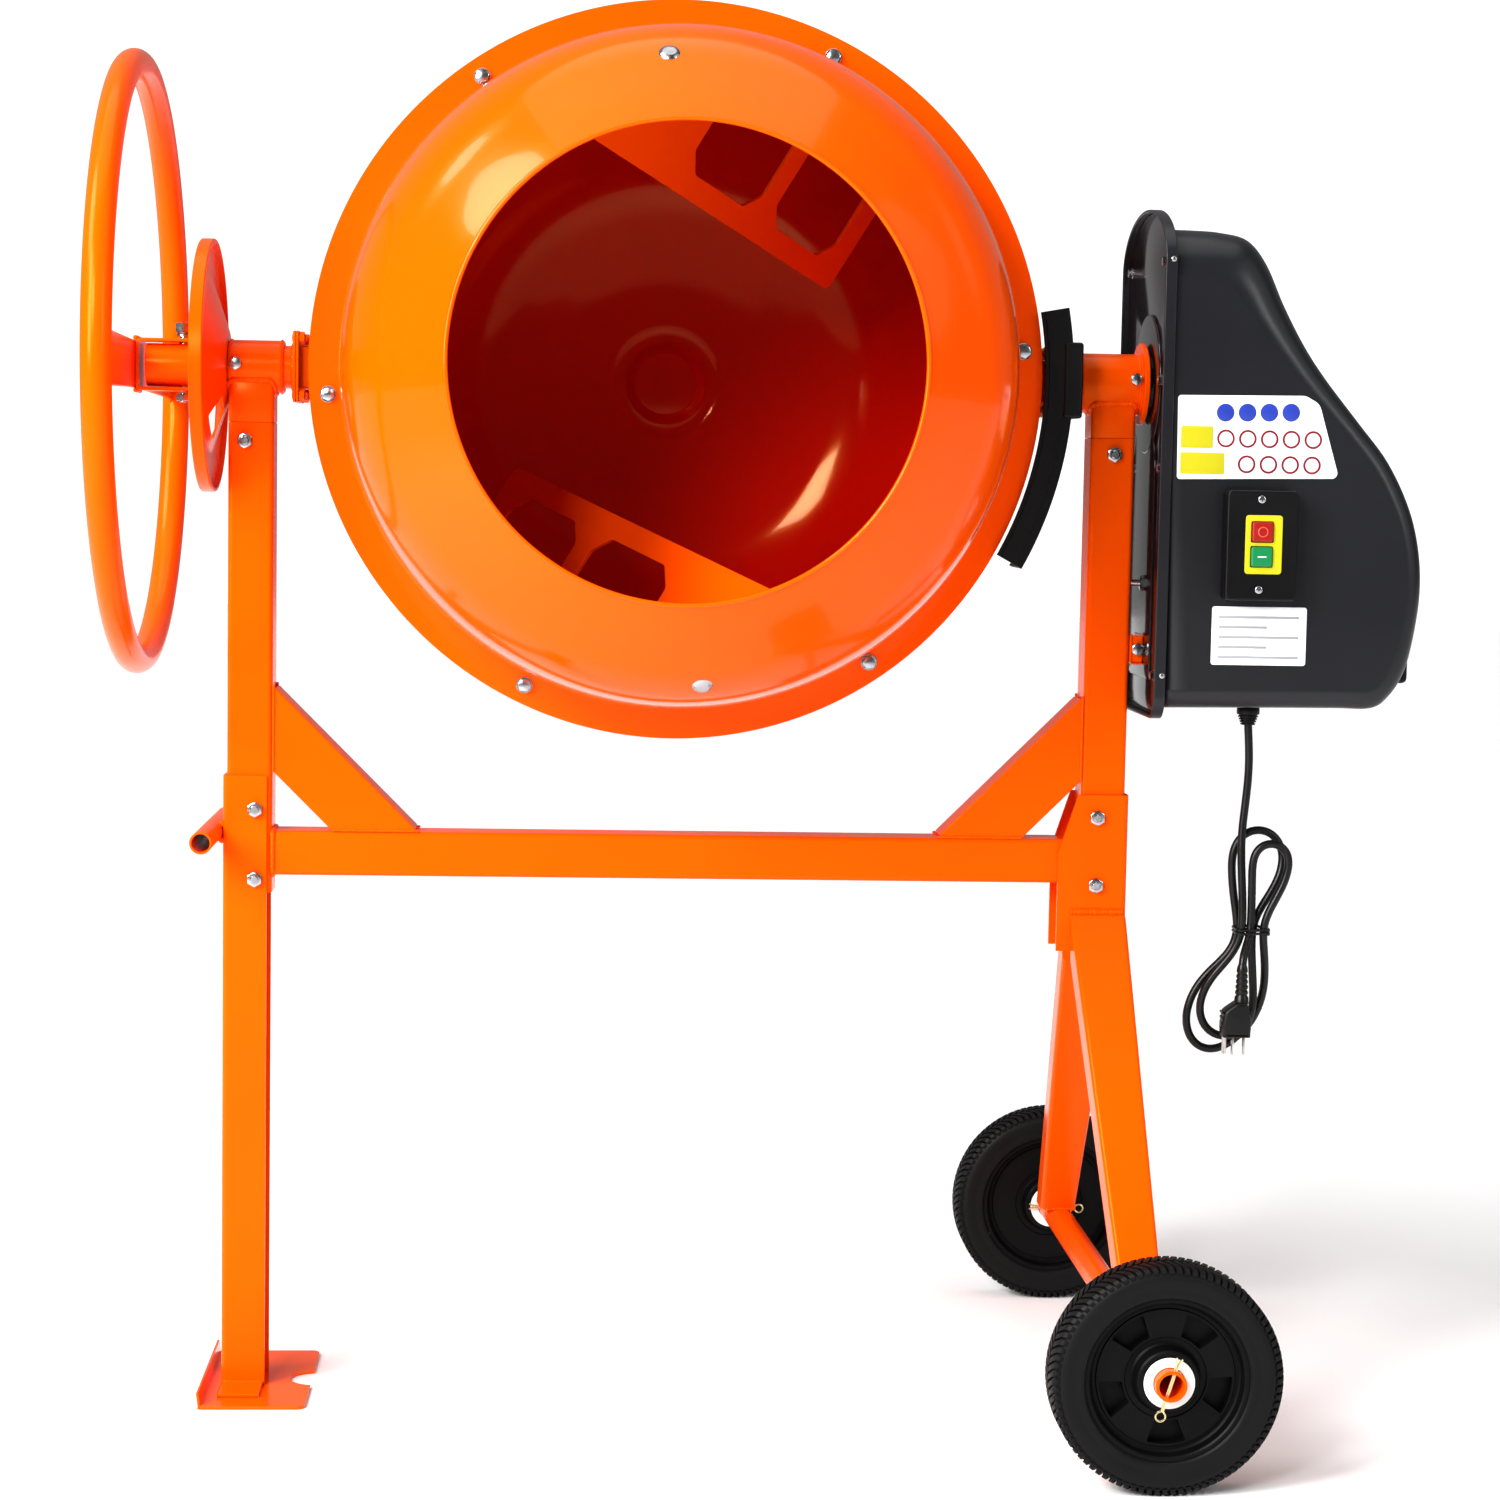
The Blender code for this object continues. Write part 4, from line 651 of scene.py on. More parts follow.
# ---------------------------------------------------------------- supply cord
def cord_line():
    """The cord's centreline: down from the gland, two lower and two upper folds through the tie, the plug."""
    drop = [(0.5330, -0.0300, 0.6400), (0.5332, -0.0300, 0.6280), (0.5350, -0.0300, 0.6070),
            (0.5355, -0.0300, 0.5839), (0.5333, -0.0302, 0.5569), (0.5308, -0.0310, 0.5345),
            (0.5300, -0.0322, 0.5167), (0.5306, -0.0340, 0.4934), (0.5318, -0.0362, 0.4712),
            (0.5321, -0.0378, 0.4540), (0.5318, -0.0380, 0.4370)]
    lower_inner = [(0.5270, -0.0376, 0.4220), (0.5185, -0.0365, 0.4090), (0.5070, -0.0345, 0.3955),
                   (0.4985, -0.0320, 0.3800), (0.4950, -0.0302, 0.3610), (0.5025, -0.0300, 0.3430),
                   (0.5205, -0.0300, 0.3355), (0.5385, -0.0300, 0.3430), (0.5460, -0.0300, 0.3610),
                   (0.5462, -0.0300, 0.3780), (0.5450, -0.0300, 0.3960), (0.5436, -0.0300, 0.4150),
                   (0.5430, -0.0300, 0.4370)]
    upper_outer = [(0.5470, -0.0298, 0.4520), (0.5580, -0.0285, 0.4690), (0.5680, -0.0258, 0.4860),
                   (0.5727, -0.0228, 0.5060), (0.5655, -0.0220, 0.5248), (0.5482, -0.0220, 0.5320),
                   (0.5309, -0.0220, 0.5248), (0.5237, -0.0220, 0.5075), (0.5243, -0.0220, 0.4890),
                   (0.5262, -0.0220, 0.4700), (0.5295, -0.0220, 0.4520), (0.5312, -0.0220, 0.4370)]
    lower_outer = [(0.5285, -0.0220, 0.4230), (0.5205, -0.0220, 0.4110), (0.5090, -0.0220, 0.4000),
                   (0.4970, -0.0220, 0.3870), (0.4880, -0.0220, 0.3700), (0.4842, -0.0220, 0.3500),
                   (0.4910, -0.0220, 0.3300), (0.5080, -0.0220, 0.3220), (0.5250, -0.0220, 0.3280),
                   (0.5400, -0.0220, 0.3410), (0.5505, -0.0220, 0.3560), (0.5565, -0.0230, 0.3740),
                   (0.5575, -0.0270, 0.3920), (0.5548, -0.0340, 0.4150), (0.5512, -0.0380, 0.4370)]
    upper_inner = [(0.5550, -0.0380, 0.4530), (0.5640, -0.0380, 0.4700), (0.5715, -0.0380, 0.4860),
                   (0.5747, -0.0380, 0.5030), (0.5696, -0.0380, 0.5154), (0.5572, -0.0380, 0.5205),
                   (0.5448, -0.0380, 0.5154), (0.5397, -0.0380, 0.5030), (0.5400, -0.0380, 0.4850),
                   (0.5402, -0.0380, 0.4640), (0.5402, -0.0380, 0.4400)]
    to_plug = [(0.5375, -0.0410, 0.4290), (0.5330, -0.0480, 0.4200), (0.5305, -0.0525, 0.4120),
               (0.5300, -0.0534, 0.4030), (0.5300, -0.0534, 0.3900)]
    route = drop + lower_inner + upper_outer + lower_outer + upper_inner + to_plug
    line = catmull([at(*p) for p in route], 5)
    for _ in range(14):
        inner = [(line[i - 1] + 2 * line[i] + line[i + 1]) / 4 for i in range(2, len(line) - 2)]
        line[2:-2] = inner
    return line


def make_cord():
    line = cord_line()
    curve = bpy.data.curves.new("supply_cord", "CURVE")
    curve.dimensions = "3D"
    spline = curve.splines.new("POLY")
    spline.points.add(len(line) - 1)
    for point, place in zip(spline.points, line):
        point.co = (*place, 1.0)
    curve.bevel_depth = CORD_R
    curve.bevel_resolution = 6
    curve.use_fill_caps = True
    curve.materials.append(LOOKS["cord"])
    cord = placed("supply_cord", curve)
    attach(cord, "frame")
    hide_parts("cord_drop", "cord_hank")
    gland = make_gland()
    tie = make_tie()
    plug = make_plug()
    blades = make_plug_pins()


def make_gland():
    """A ribbed strain relief, with a shoulder under the cover and a nut inside it."""
    gland = bmesh.new()
    bore = CORD_R + 0.0001
    profile = [(bore, 0.6500), (0.0070, 0.6500), (0.0070, 0.6452), (0.0102, 0.6446), (0.0105, 0.6436),
               (0.0105, 0.6392), (0.0100, 0.6384)]
    height = 0.6380
    ribs = 4
    for i in range(ribs):
        radius = 0.0094 - 0.0008 * i
        profile += [(radius - 0.0011, height), (radius - 0.0011, height - 0.0008), (radius, height - 0.0010),
                    (radius - 0.0002, height - 0.0021)]
        height -= 0.0023
    profile += [(0.0058, 0.6287), (0.0052, 0.6285), (bore, 0.6285)]
    add_turned(gland, profile, upright(at(0.5330, -0.0300, 0.0)), 40)
    return finished("strain_relief", gland, "plastic", "frame", "cable_gland")


def make_tie():
    """Two turns of plastic-covered wire round the waist of the hank, with the ends twisted together."""
    centre = middle("cord_tie")
    half_x, half_y, wire = 0.0152, 0.0132, 0.0013
    tie = bmesh.new()
    for level in (-0.0016, 0.0016):
        loop = rounded(rectangle(-half_x, -half_y, half_x, half_y), 0.0060, 6)
        line = [centre + Vector((x, y, level + 0.0008 * math.sin(i))) for i, (x, y) in enumerate(loop)]
        add_sweep(tie, line, wire, 10, True)
    for start in (0.0, math.pi):
        twist = []
        for k in range(9):
            turn = start + 1.3 * k
            twist.append(centre + Vector((0.0011 * math.cos(turn) - half_x * 0.35,
                                          -half_y - 0.0012 - 0.0006 * k,
                                          0.0011 * math.sin(turn) - 0.0006 * k)))
        add_sweep(tie, twist, wire * 0.8, 8)
    return finished("hank_tie", tie, "cord", "frame", "cord_tie")


def make_plug():
    """A moulded plug: a grip that narrows to a ribbed strain relief round the cord."""
    plug = bmesh.new()
    body = rounded([(0.5122, 0.3412), (0.5378, 0.3412), (0.5384, 0.3560), (0.5345, 0.3740),
                    (0.5245, 0.3740), (0.5135, 0.3660), (0.5116, 0.3540)],
                   [0.0015, 0.0015, 0.004, 0.004, 0.006, 0.006, 0.004], 4)
    outline = [(x - PLUG_X, z) for x, z in body]
    add_prism(plug, [outline], 0.0200, facing_front(at(PLUG_X, PLUG_Y, 0.0)), 0.0030, 4)
    relief = [(0.0, 0.3700), (0.0068, 0.3720), (0.0064, 0.3780)]
    height = 0.3800
    for i in range(5):
        radius = 0.0060 - 0.00022 * i
        relief += [(radius - 0.0008, height), (radius - 0.0008, height + 0.0010), (radius, height + 0.0014),
                   (radius, height + 0.0034)]
        height += 0.0050
    relief += [(0.0046, 0.4060), (CORD_R, 0.4085), (0.0, 0.4085)]
    add_turned(plug, relief, upright(at(RELIEF_X, PLUG_Y, 0.0)), 32, False)
    for side in (-1, 1):
        for i in range(4):
            rib = at(PLUG_X + side * 0.0128, PLUG_Y, 0.3492 + 0.0050 * i)
            reach = Vector((0.0009, 0.0065, 0.0012))
            add_box(plug, rib - reach, rib + reach, 0.0006)
    return finished("moulded_plug", plug, "cord", "frame", "plug")


def make_plug_pins():
    pins = bmesh.new()
    for x in (0.5233, 0.5337):
        add_box(pins, at(x - 0.0008, PLUG_Y - 0.0010, 0.3242),
                at(x + 0.0008, PLUG_Y + 0.0050, 0.3420), 0.0004)
    profile = [(0.0, 0.3420), (0.0022, 0.3420), (0.0022, 0.3268), (0.0016, 0.3254), (0.0, 0.3250)]
    add_turned(pins, profile, upright(at(0.5150, PLUG_Y, 0.0)), 20, False)
    return finished("plug_pins", pins, "steel", "frame")


# ---------------------------------------------------------------- stand
def tube_loops(half):
    """Outline and bore of a square tube."""
    bore = half - TUBE_WALL
    return [rounded(rectangle(-half, -half, half, half), TUBE_CORNER, 5),
            rounded(rectangle(-bore, -bore, bore, bore), TUBE_CORNER - TUBE_WALL + 0.0002, 5)]


def make_posts():
    for name in ("left_post", "right_post"):
        bottom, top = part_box(name)
        post = bmesh.new()
        half = (top.x - bottom.x) / 2
        add_prism(post, tube_loops(half), top.z - bottom.z, upright(middle(name)), 0.0004, 1)
        finished(name + "_tube", post, "paint", "frame", name, flat=True)


def make_bearing_head(name, low_x, high_x, radius, bore, flange):
    """A short square stub welded under the sleeve that a trunnion turns in."""
    post_top = high("left_post").z
    half = 0.0205
    centre = Vector((middle(name.replace("bearing_head", "post")).x, 0.0, 0.0))
    head = bmesh.new()
    stub_top = AXIS.z - 0.012
    stub_low = post_top + GAP
    add_prism(head, tube_loops(half), stub_top - stub_low,
              upright(centre + Vector((0.0, 0.0, (stub_top + stub_low) / 2))), 0.0004, 1)
    plug_half = half - TUBE_WALL - GAP
    add_prism(head, [rounded(rectangle(-plug_half, -plug_half, plug_half, plug_half), 0.002, 3)], 0.055,
              upright(centre + Vector((0.0, 0.0, post_top - 0.0225))), 0.0004, 1)
    rim = 0.0008
    profile = tube_profile(bore, radius, low_x, high_x, rim)
    if flange:
        profile = [(bore, low_x), (radius - rim, low_x), (radius, low_x + rim), (radius, high_x - 0.0068),
                   (radius + 0.0018, high_x - 0.0050), (flange - rim, high_x - 0.0050),
                   (flange, high_x - 0.0042), (flange, high_x - rim), (flange - rim, high_x), (bore, high_x)]
    add_turned(head, profile, along_x(at(0.0, 0.0, AXIS.z)), 72)
    for x in (low_x + 0.0022, high_x - (0.0072 if flange else 0.0022)):
        add_sweep(head, ring_about_x(x, (radius + 0.0004) * 0.985, 72), 0.0011, 8, True)
    finished(name + "_casting", head, "paint", "frame", name)
    outline = rounded(rectangle(-half, -half, half, half), TUBE_CORNER, 5)
    stub = [centre + Vector((u, v, 0.0)) for u, v in outline]
    saddle = []
    for a, b in zip(stub, stub[1:] + stub[:1]):
        for k in range(4):
            point = a.lerp(b, k / 4)
            rise = math.sqrt(max(radius ** 2 - point.y ** 2, 0.0))
            saddle.append(Vector((point.x, point.y, AXIS.z - rise - 0.0006)))
    bead = bmesh.new()
    add_weld(bead, saddle, 0.0024, True, seed=centre.x)
    finished(name + "_weld", bead, "weld", "frame")


def make_heads():
    make_bearing_head("left_bearing_head", -0.4040, -0.3545, 0.0238, SHAFT_R + 0.0005, 0.0)
    make_bearing_head("right_bearing_head", 0.3700, 0.4320, 0.0274, RIGHT_TUBE_R + 0.0005, 0.0375)
    nuts = bmesh.new()
    front = low("left_post").y
    for x, z in ((-0.3883, 0.8731), (0.4032, 0.8748)):
        add_nut(nuts, facing_front(at(x, front, z)), 0.0125, 0.0045, 0.0040, 0.0006, 0.0066)
    finished("post_nuts", nuts, "zinc", "frame")
    screws = bmesh.new()
    add_bolt(screws, facing_front(at(0.4206, -0.0272, AXIS.z + 0.0035)), 0.0100, 0.0050)
    add_bolt(screws, facing_front(at(-0.3965, -0.0236, AXIS.z + 0.0020)), 0.0105, 0.0055)
    finished("sleeve_screws", screws, "zinc", "frame")


def make_crossbeam():
    left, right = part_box("crossbeam")
    beam = bmesh.new()
    half = (right.z - left.z) / 2
    centre = (left + right) / 2
    add_prism(beam, tube_loops(half), right.x - left.x, along_x(centre), 0.0004, 1)
    finished("crossbeam_tube", beam, "paint", "frame", "crossbeam", flat=True)
    welds = bmesh.new()
    for x in (left.x + 0.0004, right.x - 0.0004):
        loop = rounded(rectangle(-half, -half, half, half), TUBE_CORNER, 4)
        add_weld(welds, [Vector((x, centre.y + u, centre.z + v)) for u, v in loop], 0.0022, True, seed=x)
    finished("crossbeam_welds", welds, "weld", "frame")


def make_braces():
    """Folded 45 degree braces between each post and the crossbeam."""
    for name, side in (("left_brace", 1), ("right_brace", -1)):
        bottom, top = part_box(name)
        corner_x = bottom.x if side > 0 else top.x
        corner_z = bottom.z
        reach = top.z - bottom.z
        width = 0.079
        depth = top.y - bottom.y
        strip = [(0.0, reach), (0.0, reach - width), (reach - width, 0.0), (reach, 0.0)]
        brace = bmesh.new()
        outline = rounded([(side * u, v) for u, v in strip], 0.002, 3)
        add_prism(brace, [outline], depth, facing_front(Vector((corner_x, 0.0, corner_z))), 0.0016, 3)
        finished(name + "_fold", brace, "paint", "frame", name, flat=True)
        welds = bmesh.new()
        for y in (-depth / 2, depth / 2):
            foot = [(corner_x + side * u, y, corner_z + 0.0006) for u in (reach, reach - width)]
            wall = [(corner_x + side * 0.0006, y, corner_z + v) for v in (reach, reach - width)]
            add_weld(welds, straight(*foot, 6), 0.0013, seed=y)
            add_weld(welds, straight(*wall, 6), 0.0013, seed=y + 1.0)
        finished(name + "_welds", welds, "weld", "frame")


def channel(low_corner, high_corner, wall, opening):
    """A folded U section, open towards +x or -x, with round bends."""
    (x0, y0), (x1, y1) = low_corner, high_corner
    inner = BEND - wall
    if opening < 0:
        x0, x1 = x1, x0
    step = wall if opening > 0 else -wall
    points = [(x0, y0), (x1, y0), (x1, y0 + wall), (x0 + step, y0 + wall),
              (x0 + step, y1 - wall), (x1, y1 - wall), (x1, y1), (x0, y1)]
    return rounded(points, [BEND, 0.0004, 0.0004, inner, inner, 0.0004, 0.0004, BEND], 4)


def make_left_leg():
    bottom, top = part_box("left_leg")
    half = top.y
    wall = 0.003
    leg = bmesh.new()
    section = channel((bottom.x, -half), (bottom.x + 0.040, half), wall, 1)
    centre = Vector((0.0, 0.0, (bottom.z + top.z) / 2))
    add_prism(leg, [section], top.z - bottom.z, upright(centre), 0.0005, 2)
    tab = [(-half + 0.0005, 0.0), (-half + 0.0005, 0.0160), (-half + 0.0030, 0.0160),
           (-half + 0.0030, 0.0030), (-half - 0.0400, 0.0030), (-half - 0.0400, 0.0)]
    tab_outline = rounded([(-y, z + bottom.z) for y, z in tab], [0.0055, 0.0, 0.0, 0.003, 0.0006, 0.0006], 4)
    add_prism(leg, [tab_outline], 0.0375,
              local_axes(Vector((bottom.x + 0.0198, 0.0, 0.0)), -Y_AXIS, Z_AXIS, -X_AXIS), 0.0005, 2)
    finished("left_leg_channel", leg, "paint", "frame", "left_leg", flat=True)
    beads = bmesh.new()
    z = bottom.z + 0.0010
    for y in (-half - 0.0002, half + 0.0002):
        ends = [(bottom.x + u, y, z) for u in (0.004, 0.036)]
        add_weld(beads, straight(*ends, 6), 0.0020, seed=y)
    finished("left_leg_welds", beads, "weld", "frame")
    nuts = bmesh.new()
    for z in (0.539, 0.475):
        add_nut(nuts, facing_front(at(-0.3775, -half, z)), *STAND_NUT)
    finished("left_leg_nuts", nuts, "zinc", "frame")


def make_foot_plate():
    """The flat foot with its turned-up edge on the outer side and a notch on the inner one."""
    bottom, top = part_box("foot_plate")
    half = top.y
    thick = 0.003
    left = bottom.x + 0.0020
    right = top.x
    notch = arc((right + 0.003, 0.0), 0.0235, -97, -263, 24)
    front_corner = rounded([(left, -half), (right, -half), (right, 0.0)], [0, 0.0075, 0], 5, False)[1:-1]
    back_corner = rounded([(right, 0.0), (right, half), (left, half)], [0, 0.0075, 0], 5, False)[1:-1]
    outline = [(left, -half)] + front_corner + notch + back_corner + [(left, half)]
    foot = bmesh.new()
    add_prism(foot, [outline], thick, upright(Vector((0.0, 0.0, thick / 2))), 0.0006, 2)
    lip = [(left, 0.0), (left + 0.0030, 0.0002), (left + 0.0006, 0.0146), (left - 0.0019, 0.0142)]
    add_prism(foot, [rounded(lip, [0.0015, 0.0, 0.0008, 0.0008], 3)], 2 * half - 0.006,
              facing_front(Vector((0.0, 0.0, 0.0))), 0.0008, 2)
    finished("foot_plate_sheet", foot, "drum", "frame", "foot_plate", flat=True)


def make_tow_handle():
    centre = middle("tow_handle")
    half = (high("tow_handle").y - low("tow_handle").y) / 2
    radius = 0.0100
    handle = bmesh.new()
    add_turned(handle, tube_profile(radius - 0.0018, radius, -half, half, 0.0005), along_y(centre), 48)
    finished("tow_handle_tube", handle, "paint", "frame", "tow_handle")
    beads = bmesh.new()
    leg_face = low("left_leg").x
    for side in (-1, 1):
        ends = [(leg_face - 0.0012, y, centre.z + side * 0.0072) for y in (-0.0190, 0.0190)]
        add_weld(beads, straight(*ends, 8), 0.0030, seed=side * 3.0)
    finished("tow_handle_welds", beads, "weld", "frame")


def make_leg_bracket():
    bottom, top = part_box("leg_bracket")
    half = top.y
    bracket = bmesh.new()
    section = channel((bottom.x, -half), (top.x, half), 0.003, -1)
    centre = Vector((0.0, 0.0, (bottom.z + top.z) / 2))
    add_prism(bracket, [section], top.z - bottom.z, upright(centre), 0.0005, 2)
    corner = Vector((bottom.x, 0.0, 0.5063))
    slope = Vector((AXIS.x + 0.3785, 0.0, top.z)) - corner
    normal = Vector((-slope.z, 0.0, slope.x))
    cut_away(bracket, corner, normal)
    finished("leg_bracket_channel", bracket, "paint", "frame", "leg_bracket", flat=True)
    nuts = bmesh.new()
    for z in (0.540, 0.477):
        add_nut(nuts, facing_front(at(0.3960, -half, z)), *STAND_NUT)
    finished("leg_bracket_nuts", nuts, "zinc", "frame")


def make_wheel_legs():
    """Tapered box legs, cut upright at the bracket and level on the axle."""
    top_z = 0.451
    depth = 0.030
    length = 0.46
    half = high("leg_bracket").y + GAP
    foot_z = high("axle_tube").z + GAP
    for name, side in (("front_leg", -1), ("rear_leg", 1)):
        across = Vector((0.0, -side * math.cos(LEG_SPLAY), -math.sin(LEG_SPLAY)))
        up_leg = Vector((0.0, -side * math.sin(LEG_SPLAY), math.cos(LEG_SPLAY)))
        origin = Vector((AXIS.x, side * half, top_z)) + across * depth / 2
        axes = local_axes(origin, X_AXIS, up_leg, X_AXIS.cross(up_leg))
        taper = [(0.3960, -length), (0.4290, -length), (0.4255, 0.02), (0.3720, 0.02)]
        leg = bmesh.new()
        add_prism(leg, [taper], depth, axes, 0.0040, 4)
        for place, normal in ((Vector((0.0, side * half, 0.0)), Vector((0.0, -side, 0.0))),
                              (Vector((0.0, 0.0, foot_z)), Vector((0.0, 0.0, -1.0)))):
            cut_away(leg, place, normal)
        finished(name + "_box", leg, "paint", "frame", name, flat=True)
        beads = bmesh.new()
        ends = [at(x, side * (half + 0.0004), top_z + 0.0012) for x in (0.3730, 0.4230)]
        add_weld(beads, straight(*ends, 8), 0.0030, seed=side * 2.0)
        y = side * (half + (top_z - foot_z) * math.tan(LEG_SPLAY))
        for edge in (0.0, 0.0350):
            ends = [at(x, y - side * edge, foot_z + 0.0004) for x in (0.3985, 0.4285)]
            add_weld(beads, straight(*ends, 5), 0.0026, seed=edge)
        finished(name + "_welds", beads, "weld", "frame")


def make_axle():
    bottom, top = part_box("axle_tube")
    centre = (bottom + top) / 2
    radius = (top.z - bottom.z) / 2
    half = (top.y - bottom.y) / 2
    axle = bmesh.new()
    add_turned(axle, tube_profile(0.0105, radius, -half, half, 0.0006), along_y(centre), 56)
    finished("axle", axle, "paint", "frame", "axle_tube")
    for name in ("front_outer", "front_inner", "rear_inner", "rear_outer"):
        node = name + "_washer"
        centre = middle(node)
        outer = (high(node).x - low(node).x) / 2
        half = (high(node).y - low(node).y) / 2
        ring = bmesh.new()
        add_turned(ring, tube_profile(radius + 0.0005, outer, -half, half, 0.0004), along_y(centre), 48)
        finished(name + "_nylon_washer", ring, "nylon", "frame", node)


def make_split_pins():
    """Split pins: two half-round wires through the axle, an eye at one end, the tips bent apart."""
    axle = middle("axle_tube")
    half, split, eye = 0.0235, 0.0008, 0.0042
    wire = [(split * 3.2, half + 0.0006), (split * 1.2, half - 0.0040), (split, half - 0.0080),
            (split, -half)]
    path = wire + arc((0.0, -half - eye), eye, 66, -246, 14) + [(-u, v) for u, v in reversed(wire)]
    hung = {"front_outer": 17.0, "front_inner": -30.0, "rear_inner": -88.0, "rear_outer": 12.0}
    for name, turn in hung.items():
        y = middle(name + "_pin").y
        lean = Matrix.Rotation(math.radians(turn), 4, "Y")
        place = Matrix.Translation(Vector((axle.x, y, axle.z))) @ lean
        pin = bmesh.new()
        add_sweep(pin, [place @ Vector((u, 0.0, v)) for u, v in path], 0.00095, 8, up=Y_AXIS)
        finished(name + "_split_pin", pin, "brass", "frame", name + "_pin")


# ---------------------------------------------------------------- wheels
def add_tread(work, centre, radius):
    """Two rows of slanted blocks that run on over the shoulders."""
    depth = 0.0028
    section = [(0.0012, radius), (0.0150, radius), (0.0185, radius - 0.0012), (0.0203, radius - 0.0038)]
    slant = math.radians(5.2)
    wide = math.radians(360.0 / TREAD_BLOCKS * 0.62)
    reach = section[-1][0]
    for side in (-1, 1):
        for k in range(TREAD_BLOCKS):
            start = 2 * math.pi * (k + 0.25 * side) / TREAD_BLOCKS
            outlines = []
            for u, r in section:
                turn = start + slant * u / reach
                corners = ((turn - wide / 2, r - depth), (turn - wide / 2, r),
                           (turn + wide / 2, r), (turn + wide / 2, r - depth))
                outlines.append([centre + Vector((level * math.sin(angle), side * u, level * math.cos(angle)))
                                 for angle, level in corners])
            add_loft(work, outlines)


def make_wheel(name):
    """A tyre with moulded blocks, and a hub with five pockets that are open on its outer side."""
    node = name + "_tyre"
    centre = middle(node)
    radius = (high(node).z - low(node).z) / 2
    half = (high(node).y - low(node).y) / 2
    tyre = bmesh.new()
    shape = [(0.0700, half - 0.0030), (0.0716, half - 0.0012), (0.0740, half - 0.0006),
             (0.0770, half - 0.0012), (0.0800, half - 0.0010), (0.0860, half - 0.0002),
             (0.0900, half - 0.0008), (0.0932, half - 0.0024), (0.0952, half - 0.0050),
             (radius - 0.0026, half - 0.0090), (radius - 0.0024, half - 0.0170)]
    profile = shape + [(r, -h) for r, h in reversed(shape)]
    add_turned(tyre, profile, along_y(centre), 96)
    add_tread(tyre, centre, radius)
    finished(name + "_tyre_rubber", tyre, "rubber", name, node)

    hub = bmesh.new()
    web = 0.0060
    shape = [(0.0140, half), (0.0255, half), (0.0268, half - 0.0014), (0.0285, web + 0.0016),
             (0.0300, web), (0.0345, web), (0.0352, web + 0.0012), (0.0590, web + 0.0012), (0.0598, web),
             (0.0625, web), (0.0642, web + 0.0016), (0.0655, half - 0.0052), (0.0668, half - 0.0040),
             (0.0697, half - 0.0040)]
    profile = shape + [(r, -h) for r, h in reversed(shape)]
    add_turned(hub, profile, facing_front(centre), 96)
    outward = 1.0 if centre.y < 0 else -1.0
    depth = 0.0200
    pocket_place = facing_front(centre) @ Matrix.Translation((0.0, 0.0, outward * (0.0025 - web + depth / 2)))
    cutters = []
    for i in range(5):
        turn = 56.0 + 72.0 * i
        window = (arc((0.0, 0.0), 0.0570, turn - 17, turn + 17, 10)
                  + arc((0.0, 0.0), 0.0370, turn + 15, turn - 15, 6))
        cutter = bmesh.new()
        add_prism(cutter, [rounded(window, 0.0012, 2)], depth, pocket_place)
        cutters.append(cutter)
    carve(hub, cutters)
    finished(name + "_hub_moulding", hub, "wheel", name, name + "_hub")


# ---------------------------------------------------------------- lock disc and left end
def make_lock_disc():
    web = 0.0025
    rim_low, rim_high, rim_in = -0.4285, -0.4165, 0.1105
    hub_x, web_x = -0.4043, -0.4210
    profile = [(0.0203, hub_x), (0.0290, hub_x), (0.0330, hub_x - 0.0008), (0.0770, web_x + 0.0006),
               (0.0800, web_x), (rim_in, web_x), (rim_in, rim_high), (0.1130, rim_high),
               (LOCK_DISC_R, rim_high - 0.001), (LOCK_DISC_R, rim_low + 0.001), (0.1130, rim_low),
               (rim_in, rim_low), (rim_in, web_x - web), (0.0795, web_x - web),
               (0.0765, web_x - web + 0.0006), (0.0325, hub_x - web - 0.0008),
               (0.0285, hub_x - web), (0.0203, hub_x - web)]
    disc = bmesh.new()
    add_turned(disc, profile, along_x(at(0.0, 0.0, AXIS.z)), 128)
    cutters = []
    for turn in (240, 300):
        window = (arc((0.0, 0.0), 0.0680, turn - 18, turn + 18, 12)
                  + arc((0.0, 0.0), 0.0400, turn + 17, turn - 17, 8))
        cutter = bmesh.new()
        add_prism(cutter, [rounded(window, 0.004, 3)], 0.100, along_x(at(-0.42, 0.0, AXIS.z)))
        cutters.append(cutter)
    carve(disc, cutters)
    finished("lock_disc_dish", disc, "paint", "frame", "lock_disc")


# ---------------------------------------------------------------- drum
DRUM_PLACE = Vector((AXIS.x, 0.0, AXIS.z))


def thickened(line, thickness):
    """A closed profile round an open middle line of (radius, height) points."""
    points = [Vector(p) for p in line]
    one_side, other_side = [], []
    for i, point in enumerate(points):
        along = (points[min(i + 1, len(points) - 1)] - points[max(i - 1, 0)]).normalized()
        normal = Vector((along.y, -along.x)) * thickness / 2
        one_side.append(tuple(point + normal))
        other_side.append(tuple(point - normal))
    return one_side + other_side[::-1]


def paint_inside_shade(piece, rim_y):
    """Gives the faces behind rim_y that look at the drum's middle a darker, redder paint than the outside:
    painted shade for the drum's hollow, which really has the same paint as its outside.
    """
    piece.data.materials.append(LOOKS["inside"])
    for face in piece.data.polygons:
        inward = DRUM_PLACE - face.center
        if face.center.y > rim_y and face.normal.dot(inward) > 0.3 * inward.length:
            face.material_index = 1


